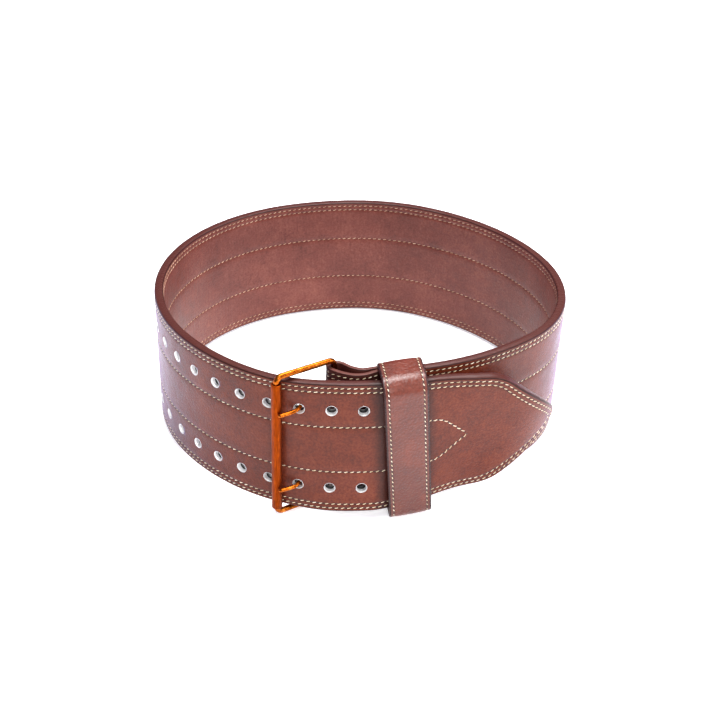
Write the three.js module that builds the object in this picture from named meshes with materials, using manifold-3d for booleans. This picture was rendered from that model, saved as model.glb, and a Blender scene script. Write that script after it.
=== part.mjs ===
// Weightlifting belt, buckled and standing on its edge as a ring. Millimetres, +Z up.
// Front is -Y. The belt's own frame has z = 0 at the strap's lower edge.
import * as THREE from "three";
import Module from "manifold-3d";

const wasm = await Module();
wasm.setup();

// Strap: two layers of leather, glued and sewn
const beltWidth = 100;
const beltThickness = 6.4;
const edgeBevel = 1.1;
const mostBevel = 0.35;
const pieceGap = 0.3;

// Ground plan: bends of the strap's middle line, walked both ways from the middle of the back.
// run is a share of bendLength, turn is in degrees and closes the ring where it is positive.
const bendLength = 60;
const backMiddle = { x: -4, y: 130.7 };
const backHeading = 5;
const tongueBends = [
  { run: 1, turn: 19 },
  { run: 1, turn: 25 },
  { run: 1, turn: 26 },
  { run: 1, turn: 27 },
  { run: 1, turn: 27 },
  { run: 1, turn: 22 },
  { run: 1, turn: 29 },
  { run: 0.5, turn: 10 },
  { run: 0.5, turn: 16 },
  { run: 0.5, turn: -10 },
  { run: 0.5, turn: -7 },
  { run: 0.5, turn: 42 },
  { run: 0.14, turn: 12 },
];
const bodyBends = [
  { run: 1, turn: 27 },
  { run: 1, turn: 21 },
  { run: 1, turn: 24 },
  { run: 1, turn: 31 },
  { run: 1, turn: 38 },
  { run: 1, turn: 19 },
  { run: 0.5, turn: 10 },
  { run: 0.36, turn: 11 },
];
const longestStep = 10;

// Twist of the tongue in degrees, its top edge outwards. along is a share of the tongue's length.
const tongueTwist = [
  { along: 0.66, lean: 0 },
  { along: 0.73, lean: -2.5 },
  { along: 0.77, lean: -2.5 },
  { along: 0.81, lean: 1 },
  { along: 0.91, lean: 9 },
  { along: 1, lean: 11 },
];

// Pointed tip of the tongue
const tipLength = 54;
const noseRadius = 10;
const shoulderRadius = 28;
const tipSteps = 16;

// Eyelets, in ten pairs
const eyeletPairs = 10;
const eyeletPitch = 20.6;
const eyeletSpread = 60.5;
const lastEyeletFromTip = (7 / 3) * bendLength;
const eyeletInnerRadius = 2.9;
const eyeletWall = 0.3;
const eyeletRimRadius = 3.8;
const eyeletRimThickness = 0.4;
const eyeletSides = 12;

// Buckle
const wireRadius = 2;
const frontBarBeforeHole = 12.93;
const strapToRoller = 0.86;
const rearBarAfterHole = 20.6;
const rearBarInwards = 21.64;
const frontDrop = 6.3;
const frameRise = 6.4;
const frameBend = 4.2;
const wireSides = 16;
const frameBendSteps = 5;
const rollerClearance = 0.4;
const rollerWall = 1.15;
const rollerSides = 24;
const rollerEndGap = 0.4;

// Prongs
const prongRadius = 1.4;
const prongPair = 8;
const prongEyeClearance = 0.4;
const prongEyeSweep = 300;
const prongEyeSteps = 14;
const prongDroop = 4.5;
const prongHoleDroop = 0.9;
const prongSides = 10;
const prongLean = 13;
const prongInHole = 4.6;
const prongShankSteps = 18;
const prongTipAngle = -72;

// Fold of leather round the rear bar. along is a share of the way from the bar to the body's end,
// out is a share of foldDepth towards the front.
const chapeThickness = 3;
const chapeClearance = 0.35;
const foldDepth = 10;
const rearLeg = [
  { along: 0.79, out: -0.06 },
  { along: 0.55, out: 0.22 },
  { along: 0.33, out: 0.03 },
  { along: 0.1, out: -0.46 },
];
const frontLeg = [
  { along: 0.09, out: 0.63 },
  { along: 0.27, out: 0.85 },
  { along: 0.45, out: 0.91 },
  { along: 0.63, out: 0.74 },
  { along: 0.8, out: 0.38 },
];
const chapeBevel = 0.4;
const foldSteps = 66;
const roundAngles = [132, 182, 232];
const lapLength = 22;
const lapSteps = 3;
const lapSkive = 1.6;
const slotReach = 9;
const slotSlack = 0.7;

// Keeper: a band round body and tongue, turned a little from the tongue
const keeperWidth = 27;
const keeperThickness = 3.2;
const keeperYaw = -2.7;
const keeperRoll = 2.2;
const keeperAfterEyelets = 29.8;
const keeperRise = 1;
const keeperFrontBend = 6;
const keeperRearBend = 4;
const keeperBendSteps = 6;
const keeperSlack = 0.9;

const radians = THREE.MathUtils.degToRad;
const up = new THREE.Vector3(0, 0, 1);

// Length of a list of bends
function bendsLength(bends) {
  return bends.reduce((sum, bend) => sum + bend.run * bendLength, 0);
}

const tongueLength = bendsLength(tongueBends);
const bodyLength = bendsLength(bodyBends);

// Point and heading after a distance along one branch; side is 1 for left turns, -1 for right turns
function walkBends(bends, heading, side, distance) {
  let { x, y } = backMiddle;
  let left = distance;
  for (const bend of bends) {
    const whole = bend.run * bendLength;
    const part = Math.min(left, whole);
    const turn = side * radians(bend.turn) * (part / whole);
    const chord = turn === 0 ? part : (part * Math.sin(turn / 2)) / (turn / 2);
    x += chord * Math.cos(heading + turn / 2);
    y += chord * Math.sin(heading + turn / 2);
    heading += turn;
    left -= part;
    if (left <= 0) break;
  }
  return { x, y, heading };
}

// Lean of the tongue at a distance from the middle of the back
function leanAt(s) {
  const along = s / tongueLength;
  const next = tongueTwist.findIndex((row) => row.along > along);
  if (next === 0) return tongueTwist[0].lean;
  if (next < 0) return tongueTwist.at(-1).lean;
  const from = tongueTwist[next - 1];
  const to = tongueTwist[next];
  return THREE.MathUtils.lerp(
    from.lean,
    to.lean,
    THREE.MathUtils.smoothstep(along, from.along, to.along),
  );
}

// Place on the strap's middle line: s is 0 at the middle of the back, positive towards the tip
function stationAt(s) {
  const tongue = s >= 0;
  const bends = tongue ? tongueBends : bodyBends;
  const start = radians(backHeading) + (tongue ? Math.PI : 0);
  const { x, y, heading } = walkBends(bends, start, tongue ? 1 : -1, Math.abs(s));
  const travel = tongue ? heading : heading + Math.PI;
  const ahead = new THREE.Vector3(Math.cos(travel), Math.sin(travel), 0);
  const out = new THREE.Vector3(Math.sin(travel), -Math.cos(travel), 0);
  const lean = radians(leanAt(s));
  return {
    x,
    y,
    ahead,
    out: out.clone().applyAxisAngle(ahead, lean),
    rise: up.clone().applyAxisAngle(ahead, lean),
  };
}

// Point at a station, moved outwards and set at a height up the strap
function pointAt(station, outwards, height) {
  return new THREE.Vector3(station.x, station.y, beltWidth / 2)
    .addScaledVector(station.out, outwards)
    .addScaledVector(station.rise, height - beltWidth / 2);
}

// Rectangle with bevelled corners as [outwards, upwards] pairs; mostBevel keeps thin ends open
function bevelledSection(thickness, low, high, bevel) {
  const t = thickness / 2;
  const b = Math.min(bevel, mostBevel * thickness, mostBevel * (high - low));
  return [
    [-t, low + b],
    [-t, high - b],
    [-t + b, high],
    [t - b, high],
    [t, high - b],
    [t, low + b],
    [t - b, low],
    [-t + b, low],
  ];
}

// Circle of points about a centre, square to the travel
function circleRing(centre, travel, first, radius, sides) {
  const second = new THREE.Vector3().crossVectors(travel, first);
  return Array.from({ length: sides }, (_, k) => {
    const angle = (2 * Math.PI * k) / sides;
    return centre
      .clone()
      .addScaledVector(first, radius * Math.cos(angle))
      .addScaledVector(second, radius * Math.sin(angle));
  });
}

// Closed solid through rings of points, capped at both ends or run round onto itself
function loft(rings, runsRound = false) {
  const count = rings[0].length;
  const points = rings.flat();
  const triangles = [];
  const last = runsRound ? rings.length : rings.length - 1;
  for (let r = 0; r < last; r += 1) {
    const near = r * count;
    const far = ((r + 1) % rings.length) * count;
    for (let k = 0; k < count; k += 1) {
      const next = (k + 1) % count;
      triangles.push(near + k, near + next, far + next);
      triangles.push(near + k, far + next, far + k);
    }
  }
  if (!runsRound) {
    const end = last * count;
    for (let k = 1; k < count - 1; k += 1) {
      triangles.push(0, k + 1, k);
      triangles.push(end, end + k, end + k + 1);
    }
  }
  return new wasm.Manifold(
    new wasm.Mesh({
      numProp: 3,
      vertProperties: new Float32Array(points.flatMap((point) => point.toArray())),
      triVerts: new Uint32Array(triangles),
    }),
  );
}

// Named mesh of a solid
function meshOf(name, solid, material) {
  const made = solid.getMesh();
  const geometry = new THREE.BufferGeometry();
  geometry.setAttribute("position", new THREE.BufferAttribute(made.vertProperties, 3));
  geometry.setIndex(new THREE.BufferAttribute(made.triVerts, 1));
  geometry.computeVertexNormals();
  const mesh = new THREE.Mesh(geometry, material);
  mesh.name = name;
  return mesh;
}

// Half the strap's height at a distance back from the point of the tip
function tipHalfHeight(back) {
  const half = beltWidth / 2;
  const slope = Math.atan2(half, tipLength);
  const apex = noseRadius / Math.sin(slope) - noseRadius;
  const noseEnd = noseRadius * (1 - Math.sin(slope));
  if (back <= noseEnd) return Math.sqrt(Math.max(noseRadius ** 2 - (noseRadius - back) ** 2, 0));
  const shoulder = half / Math.tan(slope) - apex;
  const soft = shoulderRadius * Math.tan(slope / 2);
  const start = shoulder - soft * Math.cos(slope);
  const end = shoulder + soft;
  if (back <= start) return (back + apex) * Math.tan(slope);
  if (back >= end) return half;
  return half - shoulderRadius + Math.sqrt(shoulderRadius ** 2 - (end - back) ** 2);
}

// Distances along the strap from the body's end to the tip, closer where the tip narrows
function strapDistances() {
  const start = lapLength - bodyLength;
  const tipReach = tipLength + shoulderRadius / 2;
  const straight = tongueLength - tipReach - start;
  const steps = Math.ceil(straight / longestStep);
  const distances = Array.from({ length: steps }, (_, k) => start + (straight * k) / steps);
  for (let k = tipSteps; k >= 1; k -= 1) {
    distances.push(tongueLength - tipReach * (k / tipSteps) ** 2);
  }
  return distances;
}

// One ring of the strap, or of its thinned end under the keeper
function strapRing(s, thickness, edgeInset = 0) {
  const station = stationAt(s);
  const half = tipHalfHeight(tongueLength - s) - edgeInset;
  const middle = beltWidth / 2;
  return bevelledSection(thickness, middle - half, middle + half, edgeBevel).map(([out, z]) =>
    pointAt(station, out, z),
  );
}

// Where each pair of eyelets lies along the strap
function eyeletDistance(pair) {
  return tongueLength - lastEyeletFromTip - (eyeletPairs - pair) * eyeletPitch;
}

const prongHole = stationAt(eyeletDistance(prongPair));

// Axis of an upright bar beside the tongue, a distance ahead of the prongs' hole and outwards
function barBeside(ahead, outwards) {
  const { x, y } = pointAt(
    stationAt(eyeletDistance(prongPair) + ahead),
    outwards,
    beltWidth / 2,
  );
  return { x, y };
}

const rollerRadius = wireRadius + rollerClearance + rollerWall;
const frontBar = barBeside(-frontBarBeforeHole, beltThickness / 2 + strapToRoller + rollerRadius);
const rearBar = barBeside(rearBarAfterHole, -rearBarInwards);

function eyeletHeights() {
  return {
    upper: (beltWidth + eyeletSpread) / 2,
    lower: (beltWidth - eyeletSpread) / 2,
  };
}

// Centre and facing of an eyelet, square to the strap also where that is twisted
function eyeletSeat(pair, height) {
  const s = eyeletDistance(pair);
  const station = stationAt(s);
  const [before, after] = [-eyeletRimRadius, eyeletRimRadius].map((step) =>
    pointAt(stationAt(s + step), 0, height),
  );
  const out = after.sub(before).cross(station.rise).normalize();
  return { centre: pointAt(station, 0, height), out, rise: station.rise };
}

const eyeletOuterRadius = eyeletInnerRadius + eyeletWall;
const coreThickness = beltThickness - 2 * lapSkive - 2 * pieceGap;

// Body and tongue: a bevelled band along the plan, thinned under the keeper and holed for the eyelets
function buildStrap() {
  const rings = [];
  for (let k = 0; k <= lapSteps; k += 1) {
    rings.push(strapRing((lapLength * k) / lapSteps - bodyLength, coreThickness, pieceGap));
  }
  for (const s of strapDistances()) rings.push(strapRing(s, beltThickness));
  let strap = loft(rings);
  for (let pair = 1; pair <= eyeletPairs; pair += 1) {
    for (const height of Object.values(eyeletHeights())) {
      const { centre, out, rise } = eyeletSeat(pair, height);
      const ends = [-beltThickness, beltThickness].map((depth) =>
        circleRing(
          centre.clone().addScaledVector(out, depth),
          out,
          rise,
          eyeletOuterRadius + pieceGap,
          eyeletSides,
        ),
      );
      strap = strap.subtract(loft(ends));
    }
  }
  return strap;
}

// Profile of an eyelet about its axis, closed on itself
function eyeletGeometry() {
  const end = beltThickness / 2 + pieceGap + eyeletRimThickness;
  const seat = end - eyeletRimThickness;
  const profile = [
    [eyeletInnerRadius, -end],
    [eyeletRimRadius, -end],
    [eyeletRimRadius, -seat],
    [eyeletOuterRadius, -seat],
    [eyeletOuterRadius, seat],
    [eyeletRimRadius, seat],
    [eyeletRimRadius, end],
    [eyeletInnerRadius, end],
    [eyeletInnerRadius, -end],
  ];
  return new THREE.LatheGeometry(
    profile.map(([radius, y]) => new THREE.Vector2(radius, y)),
    eyeletSides,
  );
}

// Buckle frame: a loop of round wire, its front and rear bars upright
function buildFrame() {
  const low = wireRadius - frontDrop;
  const high = beltWidth + frameRise - wireRadius;
  const front = new THREE.Vector3(frontBar.x, frontBar.y, 0);
  const reach = new THREE.Vector3(rearBar.x, rearBar.y, 0).sub(front);
  const width = reach.length();
  const across = reach.normalize();
  const normal = new THREE.Vector3().crossVectors(across, up);
  const corners = [
    { along: frameBend, z: low + frameBend, start: 180 },
    { along: width - frameBend, z: low + frameBend, start: 270 },
    { along: width - frameBend, z: high - frameBend, start: 0 },
    { along: frameBend, z: high - frameBend, start: 90 },
  ];
  const rings = [];
  for (const corner of corners) {
    for (let k = 0; k <= frameBendSteps; k += 1) {
      const angle = radians(corner.start + (90 * k) / frameBendSteps);
      const centre = front
        .clone()
        .addScaledVector(across, corner.along + frameBend * Math.cos(angle))
        .addScaledVector(up, corner.z + frameBend * Math.sin(angle));
      const travel = across
        .clone()
        .multiplyScalar(-Math.sin(angle))
        .addScaledVector(up, Math.cos(angle));
      rings.push(circleRing(centre, travel, normal, wireRadius, wireSides));
    }
  }
  return loft(rings, true);
}

// Sleeve that turns on the frame's front bar
function rollerGeometry() {
  const inner = wireRadius + rollerClearance;
  const low = wireRadius - frontDrop + frameBend + rollerEndGap;
  const high = beltWidth + frameRise - wireRadius - frameBend - rollerEndGap;
  const profile = [
    [inner, low],
    [rollerRadius, low],
    [rollerRadius, high],
    [inner, high],
    [inner, low],
  ];
  return new THREE.LatheGeometry(
    profile.map(([radius, y]) => new THREE.Vector2(radius, y)),
    rollerSides,
  );
}

// Prong: an eye round the rear bar, a shank through its eyelet, and a tip laid on the roller
function buildProng(height) {
  const eyeRadius = wireRadius + prongEyeClearance + prongRadius;
  const rollerReach = rollerRadius + pieceGap + prongRadius;
  const rise = prongDroop / 2;
  const lean = radians(prongLean);
  const through = prongHole.out
    .clone()
    .multiplyScalar(Math.cos(lean))
    .addScaledVector(prongHole.ahead, -Math.sin(lean));
  const [inside, outside] = [-1, 1].map((side) =>
    pointAt(prongHole, 0, height - (side * prongHoleDroop) / 2).addScaledVector(
      through,
      side * prongInHole,
    ),
  );
  const tipAngle = radians(prongTipAngle);
  const tip = new THREE.Vector3(
    frontBar.x + rollerReach * Math.cos(tipAngle),
    frontBar.y + rollerReach * Math.sin(tipAngle),
    height - rise,
  );
  const eyeHeight = height + rise;
  const toHole = Math.atan2(inside.y - rearBar.y, inside.x - rearBar.x);
  const spread = Math.acos(eyeRadius / Math.hypot(inside.x - rearBar.x, inside.y - rearBar.y));
  const leave = toHole - spread;
  const points = [];
  for (let k = 0; k <= prongEyeSteps; k += 1) {
    const angle = leave - radians(prongEyeSweep) * (1 - k / prongEyeSteps);
    points.push(
      new THREE.Vector3(
        rearBar.x + eyeRadius * Math.cos(angle),
        rearBar.y + eyeRadius * Math.sin(angle),
        eyeHeight,
      ),
    );
  }
  const guides = [points.at(-2), points.at(-1), inside, outside, tip];
  const shank = new THREE.CatmullRomCurve3(guides, false, "centripetal");
  const shankStart = 1 / (guides.length - 1);
  for (let k = 1; k <= prongShankSteps; k += 1) {
    points.push(shank.getPoint(THREE.MathUtils.lerp(shankStart, 1, k / prongShankSteps)));
  }
  const rings = points.map((point, k) => {
    const before = points[Math.max(k - 1, 0)];
    const after = points[Math.min(k + 1, points.length - 1)];
    const travel = after.clone().sub(before).normalize();
    const side = new THREE.Vector3().crossVectors(travel, up).normalize();
    return circleRing(point, travel, side, prongRadius, prongSides);
  });
  return loft(rings);
}

// Middle line of the fold, with its thickness as the third coordinate: along the body's inner half,
// round the bar, and back along the body's outer half
function chapeCurve() {
  const lapOut = (beltThickness - lapSkive) / 2;
  const legOut = (chapeThickness + pieceGap) / 2;
  const lap = (side) =>
    Array.from({ length: lapSteps + 1 }, (_, k) => {
      const distance = THREE.MathUtils.lerp(lapLength - pieceGap, pieceGap, k / lapSteps);
      const at = pointAt(stationAt(distance - bodyLength), side * lapOut, 0);
      return new THREE.Vector3(at.x, at.y, lapSkive);
    });
  const bodyEnd = stationAt(-bodyLength);
  const reach = new THREE.Vector2(bodyEnd.x - rearBar.x, bodyEnd.y - rearBar.y);
  const heading = reach.angle();
  const root = (side) => {
    const at = pointAt(bodyEnd, side * legOut, 0).addScaledVector(bodyEnd.ahead, -chapeThickness);
    return new THREE.Vector3(at.x, at.y, chapeThickness);
  };
  const leg = (rows) =>
    rows.map(
      (row) =>
        new THREE.Vector3(
          rearBar.x + row.along * reach.x + row.out * foldDepth * Math.sin(heading),
          rearBar.y + row.along * reach.y - row.out * foldDepth * Math.cos(heading),
          chapeThickness,
        ),
    );
  const foldRadius = wireRadius + chapeClearance + chapeThickness / 2;
  const round = roundAngles.map((degrees) => {
    const angle = heading + radians(degrees);
    return new THREE.Vector3(
      rearBar.x + foldRadius * Math.cos(angle),
      rearBar.y + foldRadius * Math.sin(angle),
      chapeThickness,
    );
  });
  return new THREE.CatmullRomCurve3(
    [
      ...lap(-1),
      root(-1),
      ...leg(rearLeg),
      ...round,
      ...leg(frontLeg),
      root(1),
      ...lap(1).reverse(),
    ],
    false,
    "centripetal",
  );
}

// Places along the fold, each with its thickness and its outward direction
function chapeStations() {
  const curve = chapeCurve();
  return Array.from({ length: foldSteps + 1 }, (_, k) => {
    const { x, y, z: thickness } = curve.getPoint(k / foldSteps);
    const travel = curve.getTangent(k / foldSteps).setZ(0).normalize();
    return { x, y, thickness, out: new THREE.Vector3(travel.y, -travel.x, 0) };
  });
}

// Points of the fold's outer face at mid height
function chapeFaces() {
  return chapeStations().map(({ x, y, thickness, out }) =>
    new THREE.Vector3(x, y, beltWidth / 2).addScaledVector(out, thickness / 2),
  );
}

// Fold of leather with a slot for each prong's eye
function buildChape() {
  let chape = loft(
    chapeStations().map(({ x, y, thickness, out }) =>
      bevelledSection(thickness, 0, beltWidth, chapeBevel).map(([outwards, z]) =>
        new THREE.Vector3(x, y, z).addScaledVector(out, outwards),
      ),
    ),
  );
  const eyeReach = wireRadius + prongEyeClearance + 2 * prongRadius + slotSlack;
  for (const height of Object.values(eyeletHeights())) {
    const low = height + prongDroop / 2 - prongRadius - slotSlack;
    const high = height + prongDroop / 2 + prongRadius + slotSlack;
    const ends = [rearBar.y + slotReach, rearBar.y - slotReach].map((y) => [
      new THREE.Vector3(rearBar.x - slotReach, y, low),
      new THREE.Vector3(rearBar.x + eyeReach, y, low),
      new THREE.Vector3(rearBar.x + eyeReach, y, high),
      new THREE.Vector3(rearBar.x - slotReach, y, high),
    ]);
    chape = chape.subtract(loft(ends));
  }
  return chape;
}

// Keeper: a closed band whose inside clears the tongue's outer face and the body's inner face
function buildKeeper() {
  const seat = stationAt(eyeletDistance(eyeletPairs) + keeperAfterEyelets);
  const yaw = Math.atan2(seat.ahead.y, seat.ahead.x) + radians(keeperYaw);
  const front = new THREE.Vector3(Math.sin(yaw), -Math.cos(yaw), 0);
  const across = new THREE.Vector3(Math.cos(yaw), Math.sin(yaw), 0);
  const rise = up.clone().applyAxisAngle(front, radians(keeperRoll));
  across.applyAxisAngle(front, radians(keeperRoll));
  const middle = pointAt(seat, 0, beltWidth / 2);
  const depths = (faces) =>
    faces
      .map((face) => face.sub(middle))
      .filter((face) => Math.abs(face.dot(across)) <= keeperWidth / 2 + 1)
      .map((face) => face.dot(front));
  const strapFaces = (start, end, side) => {
    const faces = [];
    for (let s = start; s <= end; s += 1) {
      for (const height of [0, beltWidth / 2, beltWidth]) {
        faces.push(pointAt(stationAt(s), (side * beltThickness) / 2, height));
      }
    }
    return faces;
  };
  const bodyFaces = strapFaces(-bodyLength, bendLength - bodyLength, -1);
  const rearFaces = [...bodyFaces, ...chapeFaces()];
  const frontFaces = strapFaces(tongueLength - 3 * bendLength, tongueLength, 1);
  const frontInside = Math.max(...depths(frontFaces)) + keeperSlack;
  const rearInside = Math.min(...depths(rearFaces)) - keeperSlack;
  const half = keeperThickness / 2;
  const low = half - frontDrop - beltWidth / 2;
  const high = half + keeperRise + beltWidth / 2;
  const far = frontInside + half;
  const near = rearInside - half;
  const corners = [
    { depth: far - keeperFrontBend, z: low + keeperFrontBend, bend: keeperFrontBend, start: 0 },
    { depth: near + keeperRearBend, z: low + keeperRearBend, bend: keeperRearBend, start: -90 },
    { depth: near + keeperRearBend, z: high - keeperRearBend, bend: keeperRearBend, start: -180 },
    { depth: far - keeperFrontBend, z: high - keeperFrontBend, bend: keeperFrontBend, start: -270 },
  ];
  const rings = [];
  for (const corner of corners) {
    for (let k = 0; k <= keeperBendSteps; k += 1) {
      const angle = radians(corner.start - (90 * k) / keeperBendSteps);
      const out = front
        .clone()
        .multiplyScalar(Math.cos(angle))
        .addScaledVector(rise, Math.sin(angle));
      const centre = middle
        .clone()
        .addScaledVector(front, corner.depth)
        .addScaledVector(rise, corner.z)
        .addScaledVector(out, corner.bend);
      rings.push(
        bevelledSection(keeperThickness, -keeperWidth / 2, keeperWidth / 2, edgeBevel / 2).map(
          ([outwards, along]) =>
            centre.clone().addScaledVector(out, outwards).addScaledVector(across, along),
        ),
      );
    }
  }
  return loft(rings, true);
}

function finish(color, roughness, metalness) {
  return new THREE.MeshStandardMaterial({ color, roughness, metalness });
}

const belt = new THREE.Group();
belt.add(meshOf("strap", buildStrap(), finish("#7c4238", 0.5, 0)));
belt.add(meshOf("chape", buildChape(), finish("#713a33", 0.55, 0)));
belt.add(meshOf("keeper", buildKeeper(), finish("#7a3c32", 0.4, 0)));
belt.add(meshOf("buckle_frame", buildFrame(), finish("#c87a2c", 0.3, 1)));

const roller = new THREE.Mesh(rollerGeometry(), finish("#a8480f", 0.45, 1));
roller.name = "buckle_roller";
roller.rotation.x = Math.PI / 2;
roller.position.set(frontBar.x, frontBar.y, 0);
belt.add(roller);

for (const [row, height] of Object.entries(eyeletHeights())) {
  belt.add(meshOf("prong_" + row, buildProng(height), finish("#c87a2c", 0.3, 1)));
  for (let pair = 1; pair <= eyeletPairs; pair += 1) {
    const { centre, out } = eyeletSeat(pair, height);
    const eyelet = new THREE.Mesh(eyeletGeometry(), finish("#c9c9cc", 0.2, 1));
    eyelet.name = "eyelet_" + row + "_" + String(pair).padStart(2, "0");
    eyelet.quaternion.setFromUnitVectors(new THREE.Vector3(0, 1, 0), out);
    eyelet.position.copy(centre);
    belt.add(eyelet);
  }
}

// The belt rests on the buckle, the keeper and the strap's edge at the back, so it leans back a little
function restTilt() {
  const edge = beltThickness / 2 - edgeBevel;
  let back = backMiddle.y;
  for (let s = -bendLength; s <= bendLength; s += 1) {
    back = Math.max(back, pointAt(stationAt(s), edge, 0).y);
  }
  return -Math.atan2(frontDrop, back - frontBar.y);
}

belt.rotation.x = restTilt();
const part = new THREE.Group();
part.add(belt);
part.updateMatrixWorld(true);
const box = new THREE.Box3().setFromObject(part, true);
belt.position.set(-(box.min.x + box.max.x) / 2, -(box.min.y + box.max.y) / 2, -box.min.z);

export default part;
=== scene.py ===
import math
import random

import bmesh
import bpy
import numpy as np
from mathutils import Matrix, Vector


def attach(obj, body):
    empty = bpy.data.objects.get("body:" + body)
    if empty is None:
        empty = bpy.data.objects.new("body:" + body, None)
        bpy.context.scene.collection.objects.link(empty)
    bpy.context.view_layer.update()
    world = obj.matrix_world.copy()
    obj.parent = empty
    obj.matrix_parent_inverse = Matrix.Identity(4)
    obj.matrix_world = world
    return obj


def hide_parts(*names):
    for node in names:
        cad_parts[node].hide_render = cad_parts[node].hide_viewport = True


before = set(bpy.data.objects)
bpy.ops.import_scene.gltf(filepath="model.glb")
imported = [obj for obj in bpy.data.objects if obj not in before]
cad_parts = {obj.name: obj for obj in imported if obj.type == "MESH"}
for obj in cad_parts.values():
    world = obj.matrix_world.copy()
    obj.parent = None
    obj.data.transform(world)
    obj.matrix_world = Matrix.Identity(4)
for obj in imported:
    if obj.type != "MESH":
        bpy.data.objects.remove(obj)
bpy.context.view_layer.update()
print("stage: frame loaded,", len(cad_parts), "CAD nodes")

chance = random.Random(7)

# Shared numbers, in mm and degrees; z = 0 is the strap's lower edge before the belt leans back
beltPlan = {
    "width": 100.0,
    "thickness": 6.4,
    "bendLength": 60.0,
    "backMiddle": (-4.0, 130.7),
    "backHeading": 5.0,
    "tongueBends": [(1, 19), (1, 25), (1, 26), (1, 27), (1, 27), (1, 22), (1, 29), (0.5, 10), (0.5, 16),
                    (0.5, -10), (0.5, -7), (0.5, 42), (0.14, 12)],  # share of bendLength, turn
    "bodyBends": [(1, 27), (1, 21), (1, 24), (1, 31), (1, 38), (1, 19), (0.5, 10), (0.36, 11)],
    "twist": [(0.66, 0), (0.73, -2.5), (0.77, -2.5), (0.81, 1), (0.91, 9), (1, 11)],  # share of the tongue, lean
    "easeBends": 12,  # half the window that evens out the bends
    "lean": -1.318755,
    "stand": (-3.03868, 4.82006, 4.09434),
}


# Placing
def toRow(points):
    # belt's own mm to the row's metres
    p = np.asarray(points, float).reshape(-1, 3)
    a = math.radians(beltPlan["lean"])
    turned = np.column_stack([p[:, 0], p[:, 1] * math.cos(a) - p[:, 2] * math.sin(a),
                              p[:, 1] * math.sin(a) + p[:, 2] * math.cos(a)])
    return (turned + np.array(beltPlan["stand"])) / 1000


def turnToRow(vectors):
    return (toRow(vectors) - toRow([[0, 0, 0]])) * 1000


def toBelt(points):
    p = np.asarray(points, float).reshape(-1, 3) * 1000 - np.array(beltPlan["stand"])
    a = -math.radians(beltPlan["lean"])
    return np.column_stack([p[:, 0], p[:, 1] * math.cos(a) - p[:, 2] * math.sin(a),
                            p[:, 1] * math.sin(a) + p[:, 2] * math.cos(a)])


# Camera: above the front, as in the photograph

camera = {
    "lens": 60.7,
    "aim": (4.398, 0.0, 29.716),
    "distance": 920.6,
    "elevation": 32.706,
    "roll": -2.054,
}


def placeCamera():
    e, r = math.radians(camera["elevation"]), math.radians(camera["roll"])
    forward = np.array([0, math.cos(e), -math.sin(e)])
    up = np.array([0, math.sin(e), math.cos(e)])
    right = np.array([1.0, 0, 0])
    eye = np.array(camera["aim"]) - forward * camera["distance"]
    rolledRight = right * math.cos(r) - up * math.sin(r)
    rolledUp = right * math.sin(r) + up * math.cos(r)
    axes = turnToRow([rolledRight, rolledUp, -forward])
    place = Matrix([[*axes[:, k], toRow([eye])[0][k]] for k in range(3)] + [[0, 0, 0, 1]])
    data = bpy.data.cameras.new("camera")
    data.lens, data.sensor_width, data.clip_start = camera["lens"], 36, 0.01
    item = bpy.data.objects.new("camera", data)
    item.matrix_world = place
    bpy.context.scene.collection.objects.link(item)
    bpy.context.scene.camera = item


placeCamera()
print("stage: camera placed")


# The strap's line
def branchLength(bends):
    return sum(run for run, _ in bends) * beltPlan["bendLength"]


tongueLength = branchLength(beltPlan["tongueBends"])
bodyLength = branchLength(beltPlan["bodyBends"])


def walkBends(bends, heading, side, distance):
    x, y = beltPlan["backMiddle"]
    left = distance
    for run, turn in bends:
        whole = run * beltPlan["bendLength"]
        part = min(left, whole)
        a = side * math.radians(turn) * part / whole
        chord = part if a == 0 else part * math.sin(a / 2) / (a / 2)
        x += chord * math.cos(heading + a / 2)
        y += chord * math.sin(heading + a / 2)
        heading += a
        left -= part
        if left <= 0:
            break
    return x, y


def beltLine():
    # middle line every mm, its bends eased into each other as leather does
    s = np.arange(-math.floor(bodyLength), math.floor(tongueLength) + 1, 1.0)
    s = np.concatenate([[-bodyLength], s, [tongueLength]])
    start = math.radians(beltPlan["backHeading"])
    xy = np.array([walkBends(beltPlan["tongueBends"], start + math.pi, 1, d) if d >= 0
                   else walkBends(beltPlan["bodyBends"], start, -1, -d) for d in s])
    even = np.linspace(-bodyLength, tongueLength, 1001)
    xy = np.column_stack([np.interp(even, s, xy[:, k]) for k in (0, 1)])
    n = beltPlan["easeBends"]
    window = np.hanning(2 * n + 3)[1:-1]
    window /= window.sum()
    padded = np.vstack([2 * xy[0] - xy[n:0:-1], xy, 2 * xy[-1] - xy[-2:-n - 2:-1]])
    eased = np.column_stack([np.convolve(padded[:, k], window, "valid") for k in (0, 1)])
    heading = np.unwrap(np.arctan2(*np.gradient(eased, axis=0).T[::-1]))
    return even, eased, heading


lineS, lineXY, lineHeading = beltLine()


def leanAt(s):
    table = beltPlan["twist"]
    along = np.asarray(s, float) / tongueLength
    lean = np.full(along.shape, float(table[0][1]))
    for (a0, l0), (a1, l1) in zip(table, table[1:]):
        t = np.clip((along - a0) / (a1 - a0), 0, 1)
        lean += (l1 - l0) * t * t * (3 - 2 * t)
    return np.radians(lean)


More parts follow.
